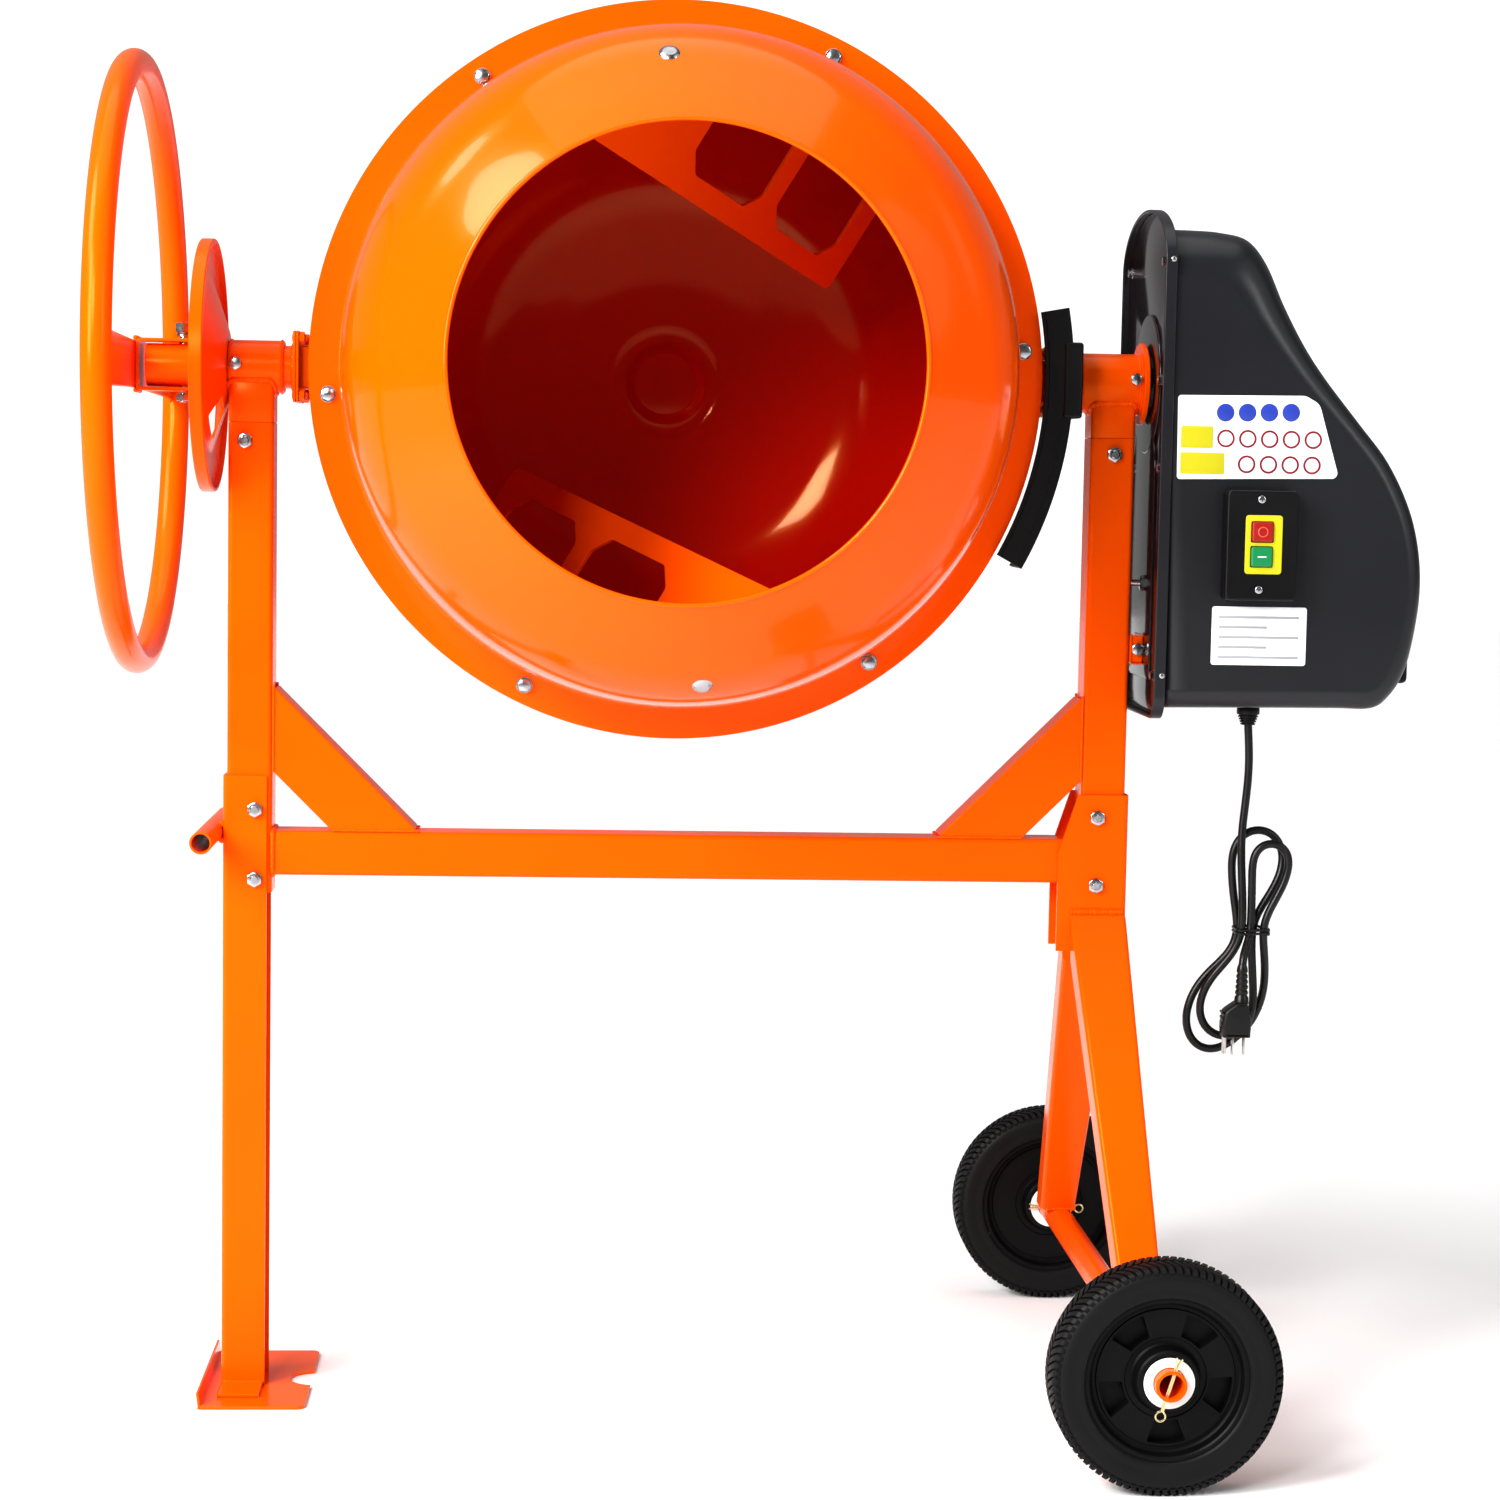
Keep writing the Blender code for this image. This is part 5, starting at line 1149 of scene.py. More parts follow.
def make_drum_cone():
    """Front half: flange, a nearly straight wall, a round shoulder and a cone to the mouth's rolled lip."""
    flange = FLANGE_Y - SHEET / 2 - GAP / 2
    bend = 0.0045
    wall = [(CONE_ROOT_R - 0.0002, flange - bend), *CONE_WALL[1:]]
    line = [(DRUM_R, flange), (DRUM_R - 0.010, flange), (CONE_ROOT_R + bend, flange)]
    line += arc((CONE_ROOT_R - 0.0002 + bend, flange - bend), bend, 90, 180, 6)[1:-1]
    line += [tuple(p) for p in catmull(wall, 5)]
    cone = bmesh.new()
    add_turned(cone, thickened(line, SHEET), along_y(DRUM_PLACE), 192)
    lip = [(MOUTH_R + 0.0020 + 0.0022 * math.cos(a), -0.2990 + 0.0022 * math.sin(a)) for a in turns(12)]
    add_turned(cone, lip, along_y(DRUM_PLACE), 192)
    paint_inside_shade(finished("drum_front_half", cone, "drum", "drum", "drum_cone", sharp=50), -0.2950)


def make_drum_bowl():
    """Back half: flange, a plain wall with one bead, a round end and a stepped, ringed bottom."""
    flange = FLANGE_Y + SHEET / 2 + GAP / 2
    end = BOWL_END_Y
    wall_r = BOWL_R - SHEET / 2
    bend = 0.0045
    middle_part = [(0.0, end - 0.0044), (0.0290, end - 0.0044), (0.0325, end - 0.0040),
                   (0.0375, end - 0.0008), (0.0400, end), (0.0500, end), (0.0520, end - 0.0004),
                   (0.0555, end - 0.0012), (0.0590, end - 0.0014), (0.0900, end - 0.0024),
                   (0.1120, end - 0.0044)]
    round_part = [(0.1120, end - 0.0044), (0.150, end - 0.0090), (0.185, end - 0.0160), (0.226, end - 0.0345),
                  (0.256, end - 0.0680), (0.2765, end - 0.118), (0.2865, end - 0.170), (wall_r, 0.060)]
    line = middle_part[:-1] + [tuple(p) for p in catmull(round_part, 5)]
    line += [(wall_r, 0.0340), (wall_r - 0.0014, 0.0310), (wall_r - 0.0014, 0.0270), (wall_r, 0.0240),
             (wall_r, -0.0200), (wall_r, flange + bend)]
    line += arc((wall_r + bend, flange + bend), bend, 180, 270, 6)[1:-1]
    line += [(wall_r + bend, flange), (DRUM_R - 0.010, flange), (DRUM_R, flange)]
    bowl = bmesh.new()
    add_turned(bowl, thickened(line, SHEET), along_y(DRUM_PLACE), 192)
    paint_inside_shade(finished("drum_back_half", bowl, "drum", "drum", "drum_bowl", sharp=50), FLANGE_Y)


def cone_depth(radius):
    """Y of the cone's sheet at a radius."""
    for (r0, y0), (r1, y1) in zip(CONE_WALL, CONE_WALL[1:]):
        if r1 <= radius <= r0:
            return y0 + (y1 - y0) * (r0 - radius) / (r0 - r1)
    return FLANGE_Y


def make_drum_fasteners():
    bolts = bmesh.new()
    front = FLANGE_Y - GAP / 2 - SHEET
    for i in range(FLANGE_BOLTS):
        turn = math.radians(FLANGE_BOLT_TURN + 360.0 / FLANGE_BOLTS * i)
        place = at(BOLT_CIRCLE * math.cos(turn), front, AXIS.z + BOLT_CIRCLE * math.sin(turn))
        add_bolt(bolts, facing_front(place) @ Matrix.Rotation(turn * 2.3, 4, "Z"), 0.0108, 0.0048, 0.0074)
    finished("flange_bolts", bolts, "zinc", "drum")
    heads = bmesh.new()
    for radius, degrees in PADDLE_BOLTS:
        turn = math.radians(degrees)
        out = Vector((math.cos(turn), 0.0, math.sin(turn)))
        normal = out * 0.70 - Y_AXIS * 0.71
        place = DRUM_PLACE + out * radius + Y_AXIS * cone_depth(radius) + normal * SHEET / 2
        cap = [(0.0, 0.0034), (0.0048, 0.0032), (0.0076, 0.0022), (0.0090, 0.0006), (0.0090, -0.0010),
               (0.0, -0.0010)]
        add_turned(heads, cap, standing_on(place, normal), 40, False)
    finished("paddle_bolt_heads", heads, "zinc", "drum")


def tooth(root, tip, base_half, tip_half):
    """A bevel tooth's four corners, as the slope they follow and the turn from the tooth's middle."""
    base_half = math.radians(base_half)
    tip_half = math.radians(tip_half)
    return ((root, -base_half), (tip, -tip_half), (tip, tip_half), (root, base_half))


def make_ring_gear():
    """The bevel ring: a flat rim behind the flange with teeth that point to the back."""
    inner, outer = 0.2975, 0.3240
    root_slope, tip_slope = -0.0410 / PITCH_R, -0.0320 / PITCH_R
    gear = bmesh.new()
    seat = FLANGE_Y + SHEET + GAP * 1.5
    profile = [(inner, root_slope * inner), (outer, root_slope * outer), (outer, seat), (inner, seat)]
    add_turned(gear, profile, along_y(DRUM_PLACE), 208)
    corners = tooth(root_slope, tip_slope, 0.735, 0.46)
    for i in range(RING_TEETH):
        turn = 2 * math.pi * (i + 0.5) / RING_TEETH
        outlines = []
        for radius in (inner + 0.0008, outer - 0.0008):
            outline = []
            for slope, offset in corners:
                lift = slope * radius - (TOOTH_ROOT if slope == root_slope else 0.0)
                angle = turn + offset
                corner = Vector((radius * math.cos(angle), lift, radius * math.sin(angle)))
                outline.append(DRUM_PLACE + corner)
            outlines.append(outline)
        add_loft(gear, outlines)
    finished("ring_gear_teeth", gear, "iron", "drum", "ring_gear")


def make_drum_hub():
    bottom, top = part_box("drum_hub")
    front, back = bottom.y, top.y
    profile = [(0.0130, back), (0.0310, back), (0.0322, back - 0.0012), (0.0345, front + 0.0200),
               (0.0365, front + 0.0140), (0.0420, front + 0.0090), (0.0740, front + 0.0050),
               (0.0750, front + 0.0040), (0.0750, front), (0.0130, front)]
    hub = bmesh.new()
    add_turned(hub, profile, along_y(DRUM_PLACE), 64)
    finished("drum_hub_casting", hub, "iron", "drum", "drum_hub")
    bolts = bmesh.new()
    for i in range(6):
        turn = math.radians(60 * i + 30)
        place = DRUM_PLACE + Vector((0.058 * math.cos(turn), front + 0.0070, 0.058 * math.sin(turn)))
        add_hexagon(bolts, along_y(place), 0.0100, 0.0050)
    finished("drum_hub_bolts", bolts, "zinc", "drum")


def make_paddles():
    """Two flat blades with windows, half a turn apart, trimmed to the drum's wall."""
    start = Vector((-0.066, -0.200, 0.182))
    along = Vector((0.557, 0.792, -0.253)).normalized()
    normal = along.cross(Vector((0.577, 0.0, 0.817))).normalized()
    out = normal.cross(along)
    bar, top, chamfer = 0.022, 0.110, 0.018
    outline = rounded(rectangle(-0.050, 0.0, 0.379, 0.200), [0.004, 0.008, 0.0, 0.0], 4)
    windows = []
    for left, right in ((0.098, 0.216), (0.240, 0.352)):
        corners = [(left + chamfer, bar), (right - chamfer, bar), (right, bar + chamfer),
                   (right, top), (left, top), (left, bar + chamfer)]
        windows.append(rounded(corners, 0.007, 4))
    inset = SHEET / 2 + 0.0003
    inner = BOWL_R - SHEET - 0.0006
    wall = [(0.0, 0.263), (0.110, 0.2635), (0.180, 0.2545), (0.222, 0.2360), (0.2525, 0.2040),
            (0.2735, 0.1560), (0.2835, 0.1050), (inner, 0.0600), (inner, -0.0600), (0.2930, -0.110),
            (0.2885, -0.178), (0.2795, -0.2135), (0.2622, -0.2410), (MOUTH_R - inset, -0.2960),
            (0.0, -0.2960)]
    for i, name in enumerate(("paddle_a", "paddle_b")):
        turn = Matrix.Rotation(math.pi * i, 3, "Y")
        axes = local_axes(DRUM_PLACE + turn @ start, turn @ along, turn @ out, turn @ normal)
        blade = bmesh.new()
        add_prism(blade, [outline] + windows, 0.004, axes, 0.0008, 2)
        space = bmesh.new()
        add_turned(space, wall, along_y(DRUM_PLACE), 96, False)
        carve(blade, [space], "INTERSECT")
        finished(name + "_blade", blade, "paint", "drum", name, flat=True)


# ---------------------------------------------------------------- yoke
PLATE = 0.0024
PLATE_HALF = 0.0320
ARM_X = 0.3396


def add_yoke_plate(work, low_x):
    outline = rounded(rectangle(-PLATE_HALF, -PLATE_HALF, PLATE_HALF, PLATE_HALF), 0.004, 4)
    add_prism(work, [outline], PLATE, along_x(at(low_x + PLATE / 2, 0.0, AXIS.z)), 0.0006, 2)


def make_left_trunnion():
    inner = -ARM_X - PLATE - GAP
    start = low("left_trunnion").x - AXIS.x
    rim = 0.0006
    bore = SHAFT_R - 0.0045
    profile = [(bore, start), (SHAFT_R - rim, start), (SHAFT_R, start + rim), (SHAFT_R, inner - 0.001),
               (bore, inner - 0.001)]
    shaft = bmesh.new()
    add_turned(shaft, profile, along_x(at(0.0, 0.0, AXIS.z)), 64)
    add_yoke_plate(shaft, inner - PLATE)
    finished("left_trunnion_shaft", shaft, "paint", "yoke", "left_trunnion")
    bead = bmesh.new()
    add_weld(bead, ring_about_x(inner - PLATE - 0.0008, SHAFT_R + 0.001, 40), 0.0026, True)
    finished("left_trunnion_weld", bead, "weld", "yoke")


def make_right_trunnion():
    outer = ARM_X + 2 * PLATE + GAP
    end = high("right_trunnion").x - AXIS.x
    bore = 0.0103
    rim = 0.0006
    profile = [(RIGHT_TUBE_R, outer - 0.001), (RIGHT_TUBE_R, end - rim), (RIGHT_TUBE_R - rim, end),
               (bore, end), (bore, outer - 0.001)]
    tube = bmesh.new()
    add_turned(tube, profile, along_x(at(0.0, 0.0, AXIS.z)), 64)
    add_yoke_plate(tube, outer - PLATE)
    finished("right_trunnion_tube", tube, "paint", "yoke", "right_trunnion")


def yoke_outline(offset):
    """Half of the arm's plan, from the trunnion round to the middle of the back."""
    side = ARM_X - 0.007 + offset
    back = 0.325 + offset
    lean = math.degrees(math.atan2(back - 0.120, side - 0.215))
    points = [(side, -0.020)]
    points += arc((side - 0.055, 0.105), 0.055, 0, 90 - lean * 0.5, 10)
    points += [(0.232 + offset * 0.5, back - 0.024 + offset * 0.2), (0.205, back)]
    return points


def make_yoke_arm():
    """The bar that carries the trunnions round the back of the drum, and the bolts of its end plates."""
    outer, inner = yoke_outline(0.007), yoke_outline(-0.007)
    right = outer + [(-x, y) for x, y in outer][::-1]
    left = [(-x, y) for x, y in inner] + inner[::-1]
    outline = right + left
    height = 0.040
    arm = bmesh.new()
    add_prism(arm, [outline], height, upright(at(0.0, 0.0, AXIS.z)), 0.0030, 3)
    for low_x in (-ARM_X - PLATE, ARM_X):
        add_yoke_plate(arm, low_x)
    finished("yoke_bar", arm, "paint", "yoke", "yoke_arm", flat=True)
    fasteners = bmesh.new()
    spread = 0.0255
    for side in (-1, 1):
        for y in (-spread, spread):
            for z in (-spread, spread):
                x = side * (ARM_X + 2 * PLATE + GAP)
                facing = Matrix.Rotation(math.pi, 4, "Y") if side < 0 else Matrix.Identity(4)
                dome = [(0.0, 0.0012), (0.0030, 0.0010), (0.0048, 0.0002), (0.0048, -0.0006), (0.0, -0.0006)]
                add_turned(fasteners, dome, along_x(at(x, y, AXIS.z + z)) @ facing, 28, False)
                nut_place = along_x(at(side * ARM_X, y, AXIS.z + z))
                back_facing = Matrix.Identity(4) if side < 0 else Matrix.Rotation(math.pi, 4, "Y")
                add_nut(fasteners, nut_place @ back_facing, 0.0100, 0.0052, 0.0030, 0.0022)
    finished("yoke_plate_bolts", fasteners, "paint", "yoke")


def make_gear_guard():
    """The moulded guard over the pinion and the first stretch of the ring gear."""
    start, end = -28.5, 10.5
    inner, outer, wall = 0.3300, 0.3560, 0.0030
    front, back = low("gear_guard").y + 0.0010, high("gear_guard").y - 0.0040
    place = at(0.0, 0.0, AXIS.z)
    guard = bmesh.new()

    def sector(r0, r1):
        return arc((0, 0), r1, start, end, 30) + arc((0, 0), r0, end, start, 30)

    add_prism(guard, [sector(inner, outer - 0.0010)], wall,
              facing_front(place + Y_AXIS * (front + wall / 2)), 0.0006, 2)
    add_prism(guard, [sector(outer - wall, outer)], back - front,
              facing_front(place + Y_AXIS * (front + back) / 2), 0.0012, 3)
    add_prism(guard, [sector(inner + 0.0035, outer - 0.0080)], 0.0010,
              facing_front(place + Y_AXIS * (front - 0.0002)), 0.0004, 2)
    boss = bmesh.new()
    add_box(boss, at(0.3465, front - 0.0020, AXIS.z - 0.0340),
            at(0.3640, back + 0.0040, AXIS.z + 0.0340), 0.0030, 4)
    hole = bmesh.new()
    add_turned(hole, [(0.0, 0.30), (RIGHT_TUBE_R + 0.001, 0.30), (RIGHT_TUBE_R + 0.001, 0.40), (0.0, 0.40)],
               along_x(at(0.0, 0.0, AXIS.z)), 48, False)
    carve(boss, [hole])
    mesh = bpy.data.meshes.new("boss")
    boss.to_mesh(mesh)
    boss.free()
    add_mesh(guard, mesh, Matrix.Identity(4))
    finished("gear_guard_moulding", guard, "guard", "yoke", "gear_guard", flat=True)


def make_pivot_bolt():
    """The handwheel's upright bolt, with a spring washer under its head and a nut below."""
    bolt = bmesh.new()
    place = at(-0.4450, 0.0, AXIS.z)
    head_seat = 0.0262
    add_bolt(bolt, upright(place + Z_AXIS * head_seat), 0.0148, 0.0085, 0.0074, True)
    add_turned(bolt, [(0.0, head_seat), (0.0044, head_seat), (0.0044, -0.0330), (0.0, -0.0330)],
               upright(place), 24, False)
    nut = upright(place + Z_AXIS * -0.0262) @ Matrix.Rotation(math.pi, 4, "X")
    add_nut(bolt, nut, 0.0130, 0.0060, 0.0044, 0.0013)
    finished("pivot_bolt_set", bolt, "zinc", "yoke", "pivot_bolt")


def make_pinion():
    low_x, high_x = 0.3010, 0.3215
    bore = 0.0103
    root, tip = 0.0310 / PITCH_R, 0.0400 / PITCH_R
    pinion = bmesh.new()
    profile = [(bore, low_x), (root * low_x, low_x), (root * high_x, high_x), (bore, high_x)]
    add_turned(pinion, profile, along_x(at(0.0, 0.0, AXIS.z)), 72)
    corners = tooth(root, tip, 8.5, 4.5)
    for i in range(PINION_TEETH):
        turn = math.pi + 2 * math.pi * i / PINION_TEETH
        outlines = []
        for x in (low_x + 0.0004, high_x - 0.0004):
            outline = []
            for scale, offset in corners:
                radius = scale * x - (TOOTH_ROOT if scale == root else 0.0)
                angle = turn + offset
                outline.append(at(x, radius * math.cos(angle), AXIS.z + radius * math.sin(angle)))
            outlines.append(outline)
        add_loft(pinion, outlines)
    finished("pinion_teeth", pinion, "iron", "drive_line", "bevel_pinion")


# ---------------------------------------------------------------- handwheel
def make_handwheel():
    bottom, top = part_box("handwheel_rim")
    radius = (top.z - bottom.z) / 2 - HANDWHEEL_TUBE_R
    hub_x = -0.4850
    hub = at(hub_x, 0.0, AXIS.z)
    rim = bmesh.new()
    add_sweep(rim, ring_about_x(hub_x, radius, 144), HANDWHEEL_TUBE_R, 32, True, up=X_AXIS)
    finished("handwheel_ring", rim, "paint", "handwheel", "handwheel_rim")
    bar = bmesh.new()
    ends = [(-radius, -0.0255), (-0.034, -0.0215), (0.034, -0.0215), (radius, -0.0255),
            (radius, 0.0255), (0.034, 0.0215), (-0.034, 0.0215), (-radius, 0.0255)]
    outline = rounded(ends, [0.0, 0.02, 0.02, 0.0, 0.0, 0.02, 0.02, 0.0], 4)
    add_prism(bar, [outline], 0.004, along_x(hub - X_AXIS * 0.004), 0.0012, 3)
    finished("handwheel_crossbar", bar, "paint", "handwheel", flat=True)
    fork = bmesh.new()
    left, right = low("handwheel_fork").x, high("handwheel_fork").x
    half = (high("handwheel_fork").z - low("handwheel_fork").z) / 2
    depth = high("handwheel_fork").y - low("handwheel_fork").y
    section = channel((left, -half), (right, half), 0.003, 1)
    section = [(x - hub.x, z) for x, z in section]
    add_prism(fork, [section], depth, facing_front(hub), 0.0006, 2)
    finished("handwheel_fork_channel", fork, "paint", "handwheel", "handwheel_fork", flat=True)
    beads = bmesh.new()
    for side in (-1, 1):
        for z in (-0.0262, 0.0262):
            ends = [at(hub_x - 0.0040, side * (radius - inset), AXIS.z + z * level)
                    for inset, level in ((0.016, 1.0), (0.004, 0.92))]
            add_weld(beads, straight(*ends, 4), 0.0022, seed=z)
        ends = [at(hub_x - 0.0075, side * (radius - 0.0105), AXIS.z + z) for z in (-0.022, 0.022)]
        add_weld(beads, straight(*ends, 8), 0.0026, seed=side * 1.0)
    for z in (-half, half):
        ends = [at(hub_x - 0.0018, y, AXIS.z + z) for y in (-0.016, 0.016)]
        add_weld(beads, straight(*ends, 6), 0.0020, seed=z)
    finished("handwheel_welds", beads, "weld", "handwheel")


# ---------------------------------------------------------------- housing
# Outer x, outer z, front face x, front face z and depth of the rounding; x from the drum's axis.
COVER_SHAPE = (
    (0.4400, 1.0778, 0.4400, 1.0318, 0.046), (0.4640, 1.0775, 0.4560, 1.0313, 0.046),
    (0.4880, 1.0760, 0.4740, 1.0285, 0.046), (0.5125, 1.0695, 0.4900, 1.0220, 0.044),
    (0.5300, 1.0480, 0.5030, 1.0090, 0.040), (0.5460, 1.0110, 0.5200, 0.9860, 0.034),
    (0.5645, 0.9750, 0.5435, 0.9570, 0.028), (0.5845, 0.9450, 0.5670, 0.9300, 0.024),
    (0.6150, 0.9065, 0.6010, 0.8935, 0.020), (0.6425, 0.8715, 0.6275, 0.8605, 0.018),
    (0.6635, 0.8300, 0.6470, 0.8230, 0.018), (0.6735, 0.7900, 0.6565, 0.7860, 0.017),
    (0.6755, 0.7500, 0.6585, 0.7500, 0.017), (0.6700, 0.7080, 0.6530, 0.7110, 0.017),
    (0.6625, 0.6800, 0.6455, 0.6870, 0.017), (0.6500, 0.6600, 0.6385, 0.6740, 0.017),
    (0.6340, 0.6490, 0.6280, 0.6660, 0.017), (0.6000, 0.6486, 0.6000, 0.6656, 0.017),
    (0.5300, 0.6480, 0.5300, 0.6650, 0.017), (0.4400, 0.6470, 0.4400, 0.6640, 0.017))
TRAY_DEPTH = 0.0085              # recess in the lip, in front of the step that carries the cover
LIP_FLOOR = 0.0020
LIP_REACH = 0.0050
LIP_RISE = 0.0520                # height of the arch over the lip


def lip_outline(inset):
    """The open side's outline in Y and Z: round lower corners and an arch at the top."""
    near = low("housing_cover").y + inset
    far = high("housing_cover").y - inset
    bottom = low("housing_cover").z + inset
    radius = 0.022 - inset
    spring = high("housing_cover").z - LIP_RISE
    half = (far - near) / 2
    arch = [((near + far) / 2 + half * u, spring + (LIP_RISE - inset) * v)
            for u, v in arc((0.0, 0.0), 1.0, 0, 180, 48)]
    return (arc((near + radius, bottom + radius), radius, 180, 270, 8)
            + arc((far - radius, bottom + radius), radius, 270, 360, 8) + arch)


def cover_faces():
    """Y of the cover's front and back faces."""
    return low("housing_cover").y + LIP_REACH, high("housing_cover").y - LIP_REACH


def make_housing_cover():
    near, far = cover_faces()
    flat_points = []
    for a, b, c, d, e in COVER_SHAPE:
        flat_points.append((Vector((a, b, 0.0)), Vector((c, d, e))))
    outer = catmull([p for p, _ in flat_points], 6)
    inner = catmull([q for _, q in flat_points], 6)
    cover = bmesh.new()
    steps = 9
    rings = []
    for face, sign in ((near, 1), (far, -1)):
        part = []
        for k in range(steps + 1):
            turn = math.pi / 2 * k / steps
            ring = []
            for p, q in zip(outer, inner):
                across = q.xy.lerp(p.xy, math.sin(turn))
                ring.append(cover.verts.new(at(across.x, face + sign * q.z * (1 - math.cos(turn)), across.y)))
            part.append(ring)
        rings += part if sign > 0 else part[::-1]
    add_loop_faces(cover, rings, False, False)
    cover.faces.new(rings[0])
    cover.faces.new(rings[-1])
    piece = finished("housing_shell", cover, "housing", "frame", "housing_cover", sharp=60)
    weighted = piece.modifiers.new("Normals", "WEIGHTED_NORMAL")
    weighted.weight = 100
    shell = piece.modifiers.new("Wall", "SOLIDIFY")
    shell.thickness = 0.0028
    shell.offset = -1.0
    lip = bmesh.new()
    start = low("housing_cover").x
    add_prism(lip, [lip_outline(0.0), lip_outline(0.0028)], TRAY_DEPTH + LIP_FLOOR,
              along_x(Vector((start + (TRAY_DEPTH + LIP_FLOOR) / 2, 0.0, 0.0))), 0.0011, 3)
    opening = rounded(rectangle(near + 0.0030, 0.6500, far - 0.0030, 1.0748), 0.020, 8)
    add_prism(lip, [lip_outline(0.0014), opening], LIP_FLOOR,
              along_x(Vector((start + TRAY_DEPTH + LIP_FLOOR / 2 - 0.0002, 0.0, 0.0))), 0.0004, 1)
    finished("housing_lip", lip, "housing", "frame", flat=True)


def make_back_plate():
    """The glossy sheet that closes the housing: a round emboss about the shaft and a tall raised panel."""
    bottom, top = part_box("housing_back_plate")
    x = top.x - 0.0010
    ring = [(y, AXIS.z + z) for y, z in arc((0, 0), 0.0240, 0, 350, 35)]
    closing = bmesh.new()
    add_prism(closing, [lip_outline(0.0034), ring], 0.0020, along_x(Vector((x, 0.0, 0.0))), 0.0004, 1)
    panel = rounded(rectangle(-0.0480, 0.6700, 0.0560, 0.9050), [0.016, 0.016, 0.046, 0.046], 8)
    add_prism(closing, [panel], 0.0030, along_x(Vector((x - 0.0016, 0.0, 0.0))), 0.0014, 4)
    rings = [[(y, AXIS.z + z) for y, z in arc((0, 0), r, 0, 355, 71)] for r in (0.0640, 0.0240)]
    add_prism(closing, rings, 0.0036, along_x(Vector((x - 0.0018, 0.0, 0.0))), 0.0016, 4)
    collar = bottom.x
    profile = [(0.0240, collar), (0.0294, collar), (0.0300, collar + 0.0006), (0.0300, collar + 0.0062),
               (0.0240, collar + 0.0062)]
    add_turned(closing, profile, along_x(Vector((0.0, 0.0, AXIS.z))), 64)
    finished("housing_back_sheet", closing, "lacquer", "frame", "housing_back_plate")
    bolts = bmesh.new()
    for y, z in ((-0.0690, 0.9420), (0.0870, 0.9420), (-0.0745, 1.0475), (-0.0780, 0.8631), (-0.0700, 0.6754),
                 (0.0950, 1.0475), (0.0950, 0.8631), (0.0900, 0.6754)):
        facing = along_x(Vector((x - 0.0010, y, z))) @ Matrix.Rotation(math.pi, 4, "Y")
        add_bolt(bolts, facing, 0.0070, 0.0036, 0.0050)
    finished("back_sheet_bolts", bolts, "zinc", "frame")


def make_housing_fasteners():
    """Two screws on the lip's side, and the belt's adjusting bolt between the post and the back plate."""
    start = low("housing_cover").x
    screws = bmesh.new()
    for z in (1.0480, 0.6770):
        add_screw(screws, facing_front(Vector((start + 0.0068, low("housing_cover").y, z))), 0.0026, 0.0018)
    finished("housing_lip_screws", screws, "zinc", "frame")
    adjuster = bmesh.new()
    post_face = high("right_post").x
    place = Vector((post_face - 0.0010, -0.0160, 0.7576))
    add_turned(adjuster, thread(0.0032, 0.0185), along_x(place), 24, False)
    for step in (0.0095, 0.0150):
        add_hexagon(adjuster, along_x(place + X_AXIS * step), 0.0125, 0.0046, 0.0034, both=True)
    finished("belt_adjuster", adjuster, "zinc", "frame")


def make_motor_bracket():
    bottom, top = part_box("motor_bracket")
    wall = 0.003
    bracket = bmesh.new()
    outline = [(bottom.x, top.z), (bottom.x, bottom.z), (top.x, bottom.z), (top.x, top.z),
               (top.x - wall, top.z), (top.x - wall, bottom.z + wall), (bottom.x + wall, bottom.z + wall),
               (bottom.x + wall, top.z)]
    add_prism(bracket, [rounded(outline, [0.0004, 0.004, 0.004, 0.0004, 0.0004, 0.001, 0.001, 0.0004], 4)],
              top.y - bottom.y, facing_front(Vector((0.0, 0.0, 0.0))), 0.0006, 2)
    add_box(bracket, (bottom.x + 0.001, bottom.y, bottom.z + 0.001),
            (top.x - 0.001, bottom.y + wall, top.z - 0.001), 0.0008)
    finished("motor_bracket_fold", bracket, "paint", "frame", "motor_bracket", flat=True)
    bolt = bmesh.new()
    add_bolt(bolt, facing_front(Vector(((bottom.x + top.x) / 2, bottom.y, 0.6965))), 0.0105, 0.0060)
    finished("motor_bracket_bolt", bolt, "zinc", "frame")


def make_capacitor_box():
    bottom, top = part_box("capacitor_box")
    box_piece = bmesh.new()
    add_box(box_piece, (bottom.x, bottom.y, bottom.z), (top.x, top.y, top.z), 0.0050, 4)
    finished("capacitor_cover", box_piece, "plastic", "frame", "capacitor_box", flat=True)


